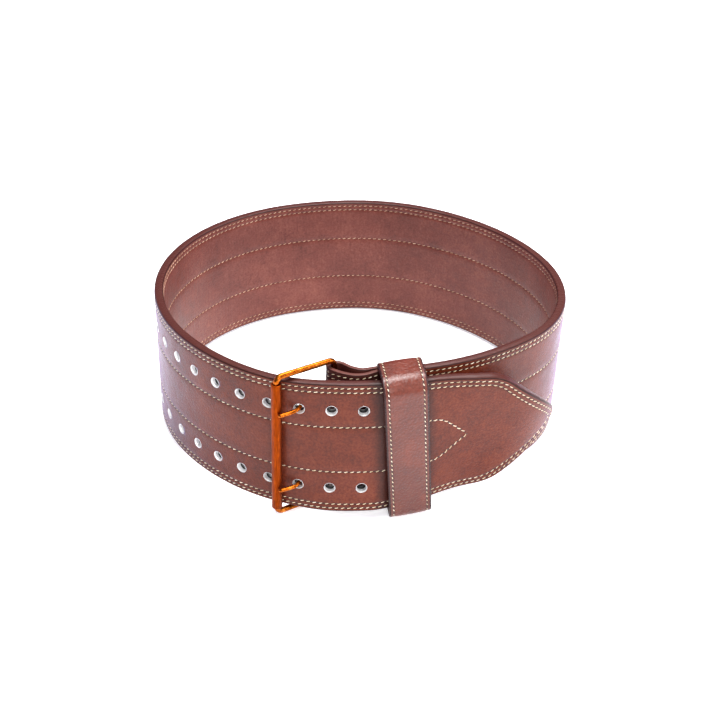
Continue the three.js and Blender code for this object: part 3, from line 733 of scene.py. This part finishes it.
def splineThrough(points, perSpan):
    # centripetal spline, as the leather takes the shortest easy line
    p = [np.asarray(v, float) for v in points]
    p = [2 * p[0] - p[1]] + p + [2 * p[-1] - p[-2]]
    line = []
    for k in range(1, len(p) - 2):
        p0, p1, p2, p3 = p[k - 1:k + 3]
        t0 = 0
        t1 = t0 + max(np.linalg.norm(p1 - p0) ** 0.5, 1e-4)
        t2 = t1 + max(np.linalg.norm(p2 - p1) ** 0.5, 1e-4)
        t3 = t2 + max(np.linalg.norm(p3 - p2) ** 0.5, 1e-4)
        for t in np.linspace(t1, t2, perSpan, endpoint=False):
            a1 = (t1 - t) / (t1 - t0) * p0 + (t - t0) / (t1 - t0) * p1
            a2 = (t2 - t) / (t2 - t1) * p1 + (t - t1) / (t2 - t1) * p2
            a3 = (t3 - t) / (t3 - t2) * p2 + (t - t2) / (t3 - t2) * p3
            b1 = (t2 - t) / (t2 - t0) * a1 + (t - t0) / (t2 - t0) * a2
            b2 = (t3 - t) / (t3 - t1) * a2 + (t - t1) / (t3 - t1) * a3
            line.append((t2 - t) / (t2 - t1) * b1 + (t - t1) / (t2 - t1) * b2)
    return np.array(line + [p[-2]])


def chapeLine():
    lapOut = (beltPlan["thickness"] - chape["skive"]) / 2
    legOut = (chape["thickness"] + chape["gap"]) / 2
    barX, barY = buckle["rearBar"]
    thick = chape["thickness"]
    bodyEnd = strapPoint(-bodyLength, 0, 50.0)[0]
    reachX, reachY = bodyEnd[0] - barX, bodyEnd[1] - barY
    heading = math.atan2(reachY, reachX)

    def lap(side):
        places = np.linspace(strap["lapLength"] - chape["gap"], chape["gap"], chape["lapSteps"] + 1) - bodyLength
        at = strapPoint(places, side * lapOut, 50.0)
        return [(x, y, chape["skive"]) for x, y, _ in at]

    def root(side):
        at = strapPoint(-bodyLength, side * legOut, 50.0)[0] - strapAxes(-bodyLength)[0][0] * thick
        return (at[0], at[1], thick)

    def leg(rows):
        return [(barX + along * reachX + out * chape["depth"] * math.sin(heading),
                 barY + along * reachY - out * chape["depth"] * math.cos(heading), thick) for along, out in rows]

    radius = buckle["wire"] + chape["clearance"] + thick / 2
    turn = [(barX + radius * math.cos(heading + math.radians(a)), barY + radius * math.sin(heading + math.radians(a)),
             thick) for a in chape["roundAngles"]]
    points = lap(-1) + [root(-1)] + leg(chape["rearLeg"]) + turn + leg(chape["frontLeg"]) + [root(1)] + lap(1)[::-1]
    return splineThrough(points, 8)


foldLine = chapeLine()
foldTravel = np.gradient(foldLine[:, :2], axis=0)
foldTravel /= np.linalg.norm(foldTravel, axis=1)[:, None]
foldOut = np.column_stack([foldTravel[:, 1], -foldTravel[:, 0], 0 * foldTravel[:, 0]])


def foldGroove(h):
    e = beltPlan["width"] / 2 - np.abs(h)
    return sum(np.exp(-((e - inset) / strap["grooveHalf"]) ** 2) for inset in strap["rowInsets"])


def buildChape():
    half = beltPlan["width"] / 2
    edge = np.array([0, 0.1, 0.35, 0.8, 1.6, 2.5, 3.0, 3.5, 5.6, 6.3, 7.0, 9.0])
    lines = np.concatenate([half - edge, [36, 32, 28, 20, 10, 0, -10, -20, -28, -32, -36], edge[::-1] - half])
    e = half - np.abs(lines)
    r = chape["edgeRound"]
    inset = r - np.sqrt(np.maximum(r * r - (r - np.minimum(e, r)) ** 2, 0))
    verts, lay, mark, grooveShadeSeamSide = [], [], [], []
    run = 0.0
    for k, ((x, y, thick), out) in enumerate(zip(foldLine, foldOut)):
        if k:
            run += float(np.linalg.norm(foldLine[k, :2] - foldLine[k - 1, :2]))
        share = min(1.0, thick / chape["thickness"])
        offset = thick / 2 - inset * share
        for side in (1, -1):
            order = slice(None) if side > 0 else slice(None, None, -1)
            groove = foldGroove(lines)[order] if side > 0 and share > 0.9 else 0 * lines
            o = side * offset[order] - 0.25 * groove
            h = lines[order]
            verts.append(np.column_stack([x + out[0] * o, y + out[1] * o, h + half]))
            lay.append(np.column_stack([np.full(h.shape, run / 1000), h / 1000]))
            mark.append(np.column_stack([np.clip(e[order] / 10, 0, 1), np.full(h.shape, 0.6)]))
            # painted shade in the stitch grooves
            grooveShadeSeamSide.append(np.column_stack([groove * 0.8, groove * 0]))
    verts, lay, mark, grooveShadeSeamSide = (np.vstack(v) for v in (verts, lay, mark, grooveShadeSeamSide))
    n = len(lines)
    count = 2 * n
    faces = ringFaces(len(foldLine), count)
    for base in (0, (len(foldLine) - 1) * count):
        faces += [(base + k, base + k + 1, base + count - 2 - k, base + count - 1 - k) for k in range(n - 1)]
    item = makeObject("fold_chape", toRow(verts), faces, {"lay": lay, "mark": mark, "grooveShadeSeamSide": grooveShadeSeamSide})
    turnFacesOut(item)
    return item


def slotCutters():
    barX, barY = buckle["rearBar"]
    right = barX + buckle["wire"] + prong["eyeGap"] + 2 * prong["radius"] + 0.7
    left = barX - chape["slotReach"]
    verts, faces = [], []
    for row in (1, -1):
        z = (beltPlan["width"] + row * eyelet["spread"]) / 2 + prong["droop"] / 2
        first = len(verts)
        for x in (left, right):
            for y in (barY - chape["slotReach"], barY + chape["slotReach"]):
                verts += [(x, y, z - chape["slotHalf"]), (x, y, z + chape["slotHalf"])]
        corners = [(0, 1, 3, 2), (4, 6, 7, 5), (0, 4, 5, 1), (2, 3, 7, 6), (0, 2, 6, 4), (1, 5, 7, 3)]
        faces += [tuple(first + k for k in f) for f in corners]
    cutter = makeObject("slot_cutters", toRow(verts), faces, smooth=False)
    turnFacesOut(cutter)
    return cutter


# Buckle

prong = {
    "radius": 1.4,
    "pair": 8,
    "eyeGap": 0.4,
    "eyeSweep": 300,
    "droop": 4.5,
    "holeDroop": 0.9,
    "lean": 13,
    "inHole": 4.6,
    "tipAngle": -72,
    "rollerGap": 0.3,
}


def buildFrameWire():
    low = buckle["wire"] - buckle["drop"]
    high = beltPlan["width"] + buckle["rise"] - buckle["wire"]
    front = np.array([*buckle["frontBar"], 0.0])
    reach = np.array([*buckle["rearBar"], 0.0]) - front
    width = float(np.linalg.norm(reach))
    across, up, bend = reach / width, np.array([0, 0, 1.0]), buckle["bend"]
    corners = [(bend, low + bend, 180), (width - bend, low + bend, 270), (width - bend, high - bend, 0), (bend, high - bend, 90)]
    line = []
    for along, z, start in corners:
        for a in np.radians(start + np.linspace(0, 90, 13)):
            line.append(front + across * (along + bend * math.cos(a)) + up * (z + bend * math.sin(a)))
    line = np.array(line)
    # more points on the straights, so that light runs evenly along them
    dense = []
    for a, b in zip(line, np.roll(line, -1, axis=0)):
        n = max(1, int(np.linalg.norm(b - a) / 3))
        dense += [a + (b - a) * k / n for k in range(n)]
    normal = np.cross(across, up)
    verts, faces = sweepRound(dense, buckle["wire"], 28, runsRound=True, firstAxis=normal)
    item = makeObject("buckle_wire_frame", toRow(verts), faces)
    turnFacesOut(item)
    return item


def buildRoller():
    # a strip of sheet rolled up round the bar: a fine seam where its edges meet, ends slightly turned in
    inner = buckle["wire"] + buckle["sleeveGap"]
    outer = inner + buckle["sleeveWall"]
    low = buckle["wire"] - buckle["drop"] + buckle["bend"] + buckle["sleeveEndGap"]
    high = beltPlan["width"] + buckle["rise"] - buckle["wire"] - buckle["bend"] - buckle["sleeveEndGap"]
    x, y = buckle["frontBar"]
    profile = [(inner, low + 0.2), (inner + 0.2, low), (outer - 0.35, low), (outer - 0.1, low + 0.12), (outer, low + 0.45)]
    profile += [(outer, z) for z in np.linspace(low + 5, high - 5, 16)]
    profile += [(outer, high - 0.45), (outer - 0.1, high - 0.12), (outer - 0.35, high), (inner + 0.2, high), (inner, high - 0.2)]
    profile += [(inner, z) for z in np.linspace(high - 5, low + 5, 8)]
    sides = 64
    verts = []
    for k in range(sides):
        a = 2 * math.pi * k / sides
        seam = 0.22 * math.exp(-((a - 4.0) / 0.05) ** 2)
        for r, z in profile:
            lift = seam if r > inner + 0.5 else 0
            verts.append((x + (r - lift) * math.cos(a), y + (r - lift) * math.sin(a), z))
    item = makeObject("buckle_sleeve", toRow(verts), ringFaces(sides, len(profile), True))
    turnFacesOut(item)
    return item


def buildProng(name, row):
    height = (beltPlan["width"] + (1 if row == "upper" else -1) * eyelet["spread"]) / 2
    s = tongueLength - eyelet["lastFromTip"] - (eyelet["pairs"] - prong["pair"]) * eyelet["pitch"]
    ahead, out, _ = (v[0] for v in strapAxes(s))
    lean = math.radians(prong["lean"])
    through = out * math.cos(lean) - ahead * math.sin(lean)
    barX, barY = buckle["rearBar"]
    frontX, frontY = buckle["frontBar"]
    eyeRadius = buckle["wire"] + prong["eyeGap"] + prong["radius"]
    tipReach = buckle["wire"] + buckle["sleeveGap"] + buckle["sleeveWall"] + prong["rollerGap"] + prong["radius"]
    inside, outside = (strapPoint(s, 0, height - side * prong["holeDroop"] / 2)[0] + side * prong["inHole"] * through
                       for side in (-1, 1))
    tipAngle = math.radians(prong["tipAngle"])
    tip = np.array([frontX + tipReach * math.cos(tipAngle), frontY + tipReach * math.sin(tipAngle),
                    height - prong["droop"] / 2])
    toHole = math.atan2(inside[1] - barY, inside[0] - barX)
    leave = toHole - math.acos(eyeRadius / math.hypot(inside[0] - barX, inside[1] - barY))
    eye = [np.array([barX + eyeRadius * math.cos(a), barY + eyeRadius * math.sin(a), height + prong["droop"] / 2])
           for a in leave - np.radians(prong["eyeSweep"]) * np.linspace(1, 0, 40)]
    shank = splineThrough([eye[-4], eye[-1], inside, outside, tip], 16)[16:]
    line = eye[:-1] + list(shank)
    radii = np.full(len(line), prong["radius"])
    # both ends rounded over
    for k, share in enumerate((0.45, 0.8, 0.95)):
        radii[k] *= share
        radii[-1 - k] *= share
    line[0] = line[1] + (line[0] - line[1]) * 0.5
    verts, faces = sweepRound(line, radii, 20)
    item = makeObject(name, toRow(verts), faces)
    turnFacesOut(item)
    return item


foldChape = buildChape()
cutWith(foldChape, slotCutters())
settle(foldChape, chapeLeather, "chape_leather", "chape")
settle(buildFrameWire(), wireMetal, "buckle_wire", "buckle_frame")
settle(buildRoller(), rollerMetal, "roller_metal", "buckle_roller", body="roller")
for rowName in ("upper", "lower"):
    settle(buildProng("wire_prong_" + rowName, rowName), wireMetal, "buckle_wire", "prong_" + rowName)
print("stage: fold and buckle")


# Keeper

keeper = {
    "width": 30.0,
    "thickness": 4.5,
    "afterEyelets": 29.7,
    "yaw": -1.0,  # against the tongue's heading
    "roll": 0.3,
    "lean": 4.7,  # of its edges, going up
    "skew": -9.9,  # of its top and bottom, going forwards
    "drop": 6.4,
    "rise": 0.6,
    "topFrontBend": 9.6,
    "topRearBend": 10.8,
    "bottomBend": 4.0,
    "frontSlack": 0.9,
    "rearSlack": 0.2,
    "rowInset": 3.1,
    "pitch": 3.5,
    "crown": 0.5,
    "edgeRound": 0.8,
}


def keeperAxes():
    s = tongueLength - eyelet["lastFromTip"] + keeper["afterEyelets"]
    yaw = float(np.interp(s, lineS, lineHeading)) + math.radians(keeper["yaw"])
    roll = math.radians(keeper["roll"])
    front = np.array([math.sin(yaw), -math.cos(yaw), 0])
    flat = np.array([math.cos(yaw), math.sin(yaw), 0])
    up = np.array([0, 0, 1.0])
    across = flat * math.cos(roll) + np.cross(front, flat) * math.sin(roll)
    square = up * math.cos(roll) + np.cross(front, up) * math.sin(roll)
    rise = square - across * math.tan(math.radians(keeper["lean"]) - roll)
    deep = front + across * math.tan(math.radians(keeper["skew"]))
    return strapPoint(s, 0, beltPlan["width"] / 2)[0], front, across, rise, deep


def keeperPath():
    # middle line of the band in its own plane: it clears the tongue's face, the body and the fold
    middle, front, across, _, _ = keeperAxes()

    def depths(points):
        away = points - middle
        return (away @ front)[np.abs(away @ across) < keeper["width"] / 2 + 5]

    heights = np.repeat([0, 50.0, 100.0], 90)
    body = strapPoint(np.tile(np.linspace(-bodyLength, 60 - bodyLength, 90), 3), -beltPlan["thickness"] / 2, heights)
    tongue = strapPoint(np.tile(np.linspace(tongueLength - 180, tongueLength, 90), 3), beltPlan["thickness"] / 2, heights)
    fold = toBelt([v.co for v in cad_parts["chape"].data.vertices])
    half = keeper["thickness"] / 2
    far = depths(tongue).max() + keeper["frontSlack"] + half
    near = min(depths(body).min(), depths(fold).min()) - keeper["rearSlack"] - half
    low = half - keeper["drop"] - beltPlan["width"] / 2
    top = half + keeper["rise"] + beltPlan["width"] / 2
    low += keeper["width"] / 2 * math.sin(math.radians(keeper["roll"]))
    fb, rb, bb = keeper["topFrontBend"], keeper["topRearBend"], keeper["bottomBend"]
    corners = [(far - bb, low + bb, bb, 0), (near + bb, low + bb, bb, -90), (near + rb, top - rb, rb, -180),
               (far - fb, top - fb, fb, -270)]
    line, outs = [], []
    for d, z, bend, start in corners:
        for a in np.radians(start - np.linspace(0, 90, 15)):
            line.append((d + bend * math.cos(a), z + bend * math.sin(a)))
            outs.append((math.cos(a), math.sin(a)))
    dense, denseOut = [], []
    for k in range(len(line)):
        a, b = np.array(line[k]), np.array(line[(k + 1) % len(line)])
        oa, ob = np.array(outs[k]), np.array(outs[(k + 1) % len(line)])
        n = max(1, int(np.linalg.norm(b - a) / 2.5))
        for j in range(n):
            dense.append(a + (b - a) * j / n)
            o = oa + (ob - oa) * j / n
            denseOut.append(o / np.linalg.norm(o))
    return np.array(dense), np.array(denseOut)


keeperLine, keeperOut = keeperPath()


def keeperPoint(k, outwards, along):
    middle, _, across, rise, deep = keeperAxes()
    d, z = keeperLine[k] + keeperOut[k] * outwards
    return middle + deep * d + rise * z + across * along


def buildKeeper():
    half, r = keeper["width"] / 2, keeper["edgeRound"]
    edge = np.array([0, 0.1, 0.35, 0.8, 1.5, 2.5, 3.1, 3.7, 4.6])
    lines = np.concatenate([half - edge, [8, 4, 0, -4, -8], edge[::-1] - half])
    e = half - np.abs(lines)
    inset = r - np.sqrt(np.maximum(r * r - (r - np.minimum(e, r)) ** 2, 0))
    groove = np.exp(-((e - keeper["rowInset"]) / 0.55) ** 2)
    crown = keeper["crown"] * (1 - (lines / half) ** 2)
    verts, lay, mark, grooveShadeSeamSide = [], [], [], []
    run = 0.0
    for k in range(len(keeperLine)):
        if k:
            run += float(np.linalg.norm(keeperLine[k] - keeperLine[k - 1]))
        outer = keeper["thickness"] / 2 - inset - 0.3 * groove - keeper["crown"] + crown
        for o, h, g in [(a, b, c) for a, b, c in zip(outer, lines, groove)]:
            verts.append(keeperPoint(k, o, h))
            # painted shade in the stitch grooves
            grooveShadeSeamSide.append((g * 0.8, 0))
        # the cut edge: two layers with a fine line between them
        for o, h in ((0.15, -half), (0.0, -half + 0.22), (-0.15, -half)):
            verts.append(keeperPoint(k, o, h))
            grooveShadeSeamSide.append((1.0 if o == 0 else 0.0, 0))
        for o, h in zip(-keeper["thickness"] / 2 + inset[::-1], lines[::-1]):
            verts.append(keeperPoint(k, o, h))
            grooveShadeSeamSide.append((0, 0))
        for o, h in ((-0.15, half), (0.0, half - 0.22), (0.15, half)):
            verts.append(keeperPoint(k, o, h))
            grooveShadeSeamSide.append((1.0 if o == 0 else 0.0, 0))
        places = np.concatenate([lines, [-half] * 3, lines[::-1], [half] * 3])
        lay.append(np.column_stack([places / 1000, np.full(places.shape, run / 1000)]))
        mark.append(np.column_stack([np.clip((half - np.abs(places)) / 10, 0, 1), 0 * places]))
    count = 2 * len(lines) + 6
    item = makeObject("keeper_band", toRow(verts), ringFaces(len(keeperLine), count, True),
                      {"lay": np.vstack(lay), "mark": np.vstack(mark), "grooveShadeSeamSide": np.array(grooveShadeSeamSide)})
    turnFacesOut(item)
    return item


settle(buildKeeper(), keeperLeather, "keeper_leather", "keeper")
print("stage: keeper")


# Stitches

stitch = {
    "pitch": 4.2,
    "length": 3.4,
    "radius": 0.31,
    "innerRadius": 0.29,
    "slant": -0.5,
    "sides": 6,
    "sink": 0.5,
    "rise": 0.2,
    "holeRadius": 0.7,
}


def layStitches(line, normals, pitch, length):
    # stitch ends along a line: start, end and facing of each
    line, normals = np.asarray(line), np.asarray(normals)
    steps = np.linalg.norm(np.diff(line, axis=0), axis=1)
    run = np.concatenate([[0], np.cumsum(steps)])
    count = int(run[-1] // pitch)
    found = []
    for k in range(count):
        a = k * pitch + (pitch - length) / 2
        b = a + length
        ends = [np.array([np.interp(v, run, line[:, j]) for j in range(3)]) for v in (a, b)]
        facing = np.array([np.interp((a + b) / 2, run, normals[:, j]) for j in range(3)])
        found.append((ends[0], ends[1], facing / np.linalg.norm(facing)))
    return found


def stitchMesh(name, stitches, radius=stitch["radius"]):
    verts, faces, sides = [], [], stitch["sides"]
    heights = np.array([-stitch["sink"], 0.02, stitch["rise"], 0.02, -stitch["sink"]])
    radii = np.array([0.6, 0.95, 1.0, 0.95, 0.6]) * radius
    places = np.array([0, 0.22, 0.5, 0.78, 1.0])
    for a, b, facing in stitches:
        travel = b - a
        side = np.cross(travel / np.linalg.norm(travel), facing)
        slant = stitch["slant"] * chance.uniform(0.6, 1.4)
        lift = chance.uniform(-0.04, 0.05)
        first = len(verts)
        for t, h, r in zip(places, heights, radii):
            centre = a + travel * t + facing * (h + lift) + side * slant * (2 * t - 1)
            for k in range(sides):
                angle = 2 * math.pi * k / sides
                verts.append(centre + r * (math.cos(angle) * side + math.sin(angle) * facing))
        faces += ringFaces(len(places), sides, first=first)
        last = first + (len(places) - 1) * sides
        faces += [tuple(range(first + sides - 1, first - 1, -1)), tuple(range(last, last + sides))]
    item = makeObject(name, toRow(verts), faces)
    turnFacesOut(item)
    return item


def holeShadeMesh(name, stitches):
    # painted shade of the needle holes that the thread dives into: small near-black dimples at both ends of each stitch
    verts, faces, sides = [], [], 6
    for a, b, facing in stitches:
        travel = (b - a) / np.linalg.norm(b - a)
        side = np.cross(travel, facing)
        for end, way in ((a, -1), (b, 1)):
            first = len(verts)
            centre = end + travel * way * 0.12
            verts.append(centre + facing * 0.06)
            for k in range(sides):
                angle = 2 * math.pi * k / sides
                rim = math.cos(angle) * travel * 0.55 + math.sin(angle) * side
                verts.append(centre + rim * stitch["holeRadius"] + facing * 0.03)
            faces += [(first, first + 1 + k, first + 1 + (k + 1) % sides) for k in range(sides)]
    return makeObject(name, toRow(verts), faces)


def strapRow(path, side):
    # path is (distance along, height from the middle) in small steps
    s, h = path[:, 0], path[:, 1]
    out = strapFaceOut(s, h)
    points = strapPoint(s, side * out, h + beltPlan["width"] / 2)
    facing = strapAxes(s)[1] * side
    return points, facing


def strapPaths():
    half = beltPlan["width"] / 2
    start = strap["lapLength"] - bodyLength + 1
    straight = np.arange(start, tongueLength - 110, 1.0)
    paths = []
    for inset in strap["rowInsets"]:
        # the outline moved inwards by the inset
        travel = np.gradient(outline, axis=0)
        travel /= np.linalg.norm(travel, axis=1)[:, None]
        inward = np.column_stack([travel[:, 1], -travel[:, 0]])
        round_ = outline + inward * inset
        upper = np.column_stack([straight, np.full(straight.shape, half - inset)])
        lower = np.column_stack([straight[::-1], np.full(straight.shape, inset - half)])
        paths.append(np.vstack([upper, round_, lower]))
    back, apexHeight = strap["apex"]
    apex = np.array([tongueLength - back, apexHeight - half])
    row, end = strap["singleRow"], tongueLength - strap["singleEnd"]
    corner = [(end, row), (end + 6, row - 0.3), (end + 11, row - 2.4)]
    rows = [np.column_stack([np.arange(start, end, 1.0), np.full(len(np.arange(start, end, 1.0)), row)])]
    points = corner + [tuple(apex)]
    for (s0, h0), (s1, h1) in zip(points, points[1:]):
        t = np.linspace(0, 1, 12, endpoint=False)
        rows.append(np.column_stack([s0 + (s1 - s0) * t, h0 + (h1 - h0) * t]))
    upper = np.vstack(rows + [apex[None, :]])
    # the lower row mirrors the upper one and meets it at the same apex
    towardsApex = np.clip((upper[:, 0] - end) / (apex[0] - end), 0, 1)
    lower = np.column_stack([upper[:, 0], -upper[:, 1] + 2 * apex[1] * towardsApex])
    paths += [upper, lower]
    return paths


outerStitches, innerStitches = [], []
for beltPath in strapPaths():
    outerStitches += layStitches(*strapRow(beltPath, 1), stitch["pitch"], stitch["length"])
    innerStitches += layStitches(*strapRow(beltPath, -1), stitch["pitch"], stitch["length"])
settle(stitchMesh("stitches_outside", outerStitches), creamThread, "strap_leather")
settle(stitchMesh("stitches_inside", innerStitches, stitch["innerRadius"]), goldThread, "strap_leather")
settle(holeShadeMesh("needle_hole_shade_outside", outerStitches), needleHoleShade, "strap_leather")


def foldStitches():
    found = []
    full = foldLine[:, 2] > chape["thickness"] * 0.95
    use = np.where(full)[0][3:-3]
    for inset in strap["rowInsets"]:
        for h in (beltPlan["width"] - inset, inset):
            offset = foldLine[use, 2] / 2 - 0.25
            points = np.column_stack([foldLine[use, 0] + foldOut[use, 0] * offset,
                                      foldLine[use, 1] + foldOut[use, 1] * offset, np.full(len(use), h)])
            found += layStitches(points, foldOut[use], stitch["pitch"], stitch["length"])
    return found


def keeperStitches():
    found = []
    half = keeper["width"] / 2 - keeper["rowInset"]
    _, front, _, rise, _ = keeperAxes()
    crown = keeper["crown"] * (1 - (half / (keeper["width"] / 2)) ** 2)
    for along in (half, -half):
        order = list(range(len(keeperLine))) + [0]
        points = [keeperPoint(k, keeper["thickness"] / 2 - 0.3 - keeper["crown"] + crown, along) for k in order]
        facing = [front * keeperOut[k][0] + rise * keeperOut[k][1] for k in order]
        found += layStitches(points, facing, keeper["pitch"], 2.3)
    return found


settle(stitchMesh("stitches_fold", foldStitches()), creamThread, "chape_leather")
keeperFound = keeperStitches()
settle(stitchMesh("stitches_keeper", keeperFound, stitch["innerRadius"]), creamThread, "keeper_leather")
settle(holeShadeMesh("needle_hole_shade_keeper", keeperFound), needleHoleShade, "keeper_leather")
print("stage: stitches,", len(outerStitches) + len(innerStitches), "on the strap")


# Floor and light

studio = {
    "floorSize": 6.0,
    "floor": "#f6f6f8",
    "floorGlow": 0.6,
    "world": ("#dcd9ff", 0.2),
    # place, aim, size, power, colour
    "boxes": [
        ((0.1, 0.12, 1.35), (0.05, 0.0, 0.0), (0.7, 1.6), 38.0, "#ffffff"),
        ((0.05, 0.2, 1.1), (0.05, -0.1, 0.1), (0.5, 0.16), 7.0, "#ffffff"),
        ((0.25, -1.1, 0.75), (0.0, 0.0, 0.05), (0.6, 0.6), 8.0, "#ffffff"),
        ((1.05, -0.35, 0.65), (0.0, 0.0, 0.05), (0.6, 0.6), 8.0, "#fffaf6"),
        ((1.0, 0.35, 0.2), (0.15, 0.0, 0.05), (0.8, 0.25), 2.5, "#c4bbff"),
        ((-1.0, 0.35, 0.2), (-0.15, 0.0, 0.05), (0.8, 0.25), 2.5, "#c4bbff"),
    ],
}


def makeFloor():
    # matt white acrylic of a light table: lit a little from below, so shadows on it stay faint
    half = studio["floorSize"] / 2
    floor = makeObject("floor", [(-half, -half, 0), (half, -half, 0), (half, half, 0), (-half, half, 0)], [(0, 1, 2, 3)])
    material, tree = newMaterial("white acrylic light table")
    place = addNode(tree, "ShaderNodeTexCoord").outputs["Object"]
    tooth = addNode(tree, "ShaderNodeTexNoise", {"Scale": 900.0, "Detail": 2.0}, {"Vector": place})
    bump = addNode(tree, "ShaderNodeBump", {"Strength": 0.05, "Distance": 0.0002}, {"Height": tooth})
    skin = addNode(tree, "ShaderNodeBsdfPrincipled", {"Base Color": colour(studio["floor"]), "Roughness": 0.9,
                                                        "Emission Color": colour(studio["floor"]),
                                                        "Emission Strength": studio["floorGlow"]},
                   {"Normal": bump})
    addNode(tree, "ShaderNodeOutputMaterial", links={"Surface": skin})
    floor.data.materials.append(material)


def makeLights():
    for k, (place, aim, size, power, tint) in enumerate(studio["boxes"]):
        data = bpy.data.lights.new(f"softbox_{k}", "AREA")
        data.shape, data.size, data.size_y = "RECTANGLE", size[0], size[1]
        data.energy, data.color = power, colour(tint)[:3]
        item = bpy.data.objects.new(f"softbox_{k}", data)
        item.location = place
        item.rotation_euler = (Vector(aim) - Vector(place)).to_track_quat("-Z", "Y").to_euler()
        bpy.context.scene.collection.objects.link(item)
    world = bpy.data.worlds.new("studio")
    world.use_nodes = True
    back = world.node_tree.nodes["Background"]
    back.inputs["Color"].default_value = colour(studio["world"][0])
    back.inputs["Strength"].default_value = studio["world"][1]
    bpy.context.scene.world = world


makeFloor()
makeLights()
bpy.context.scene.view_settings.view_transform = "Standard"
print("stage: floor and light")
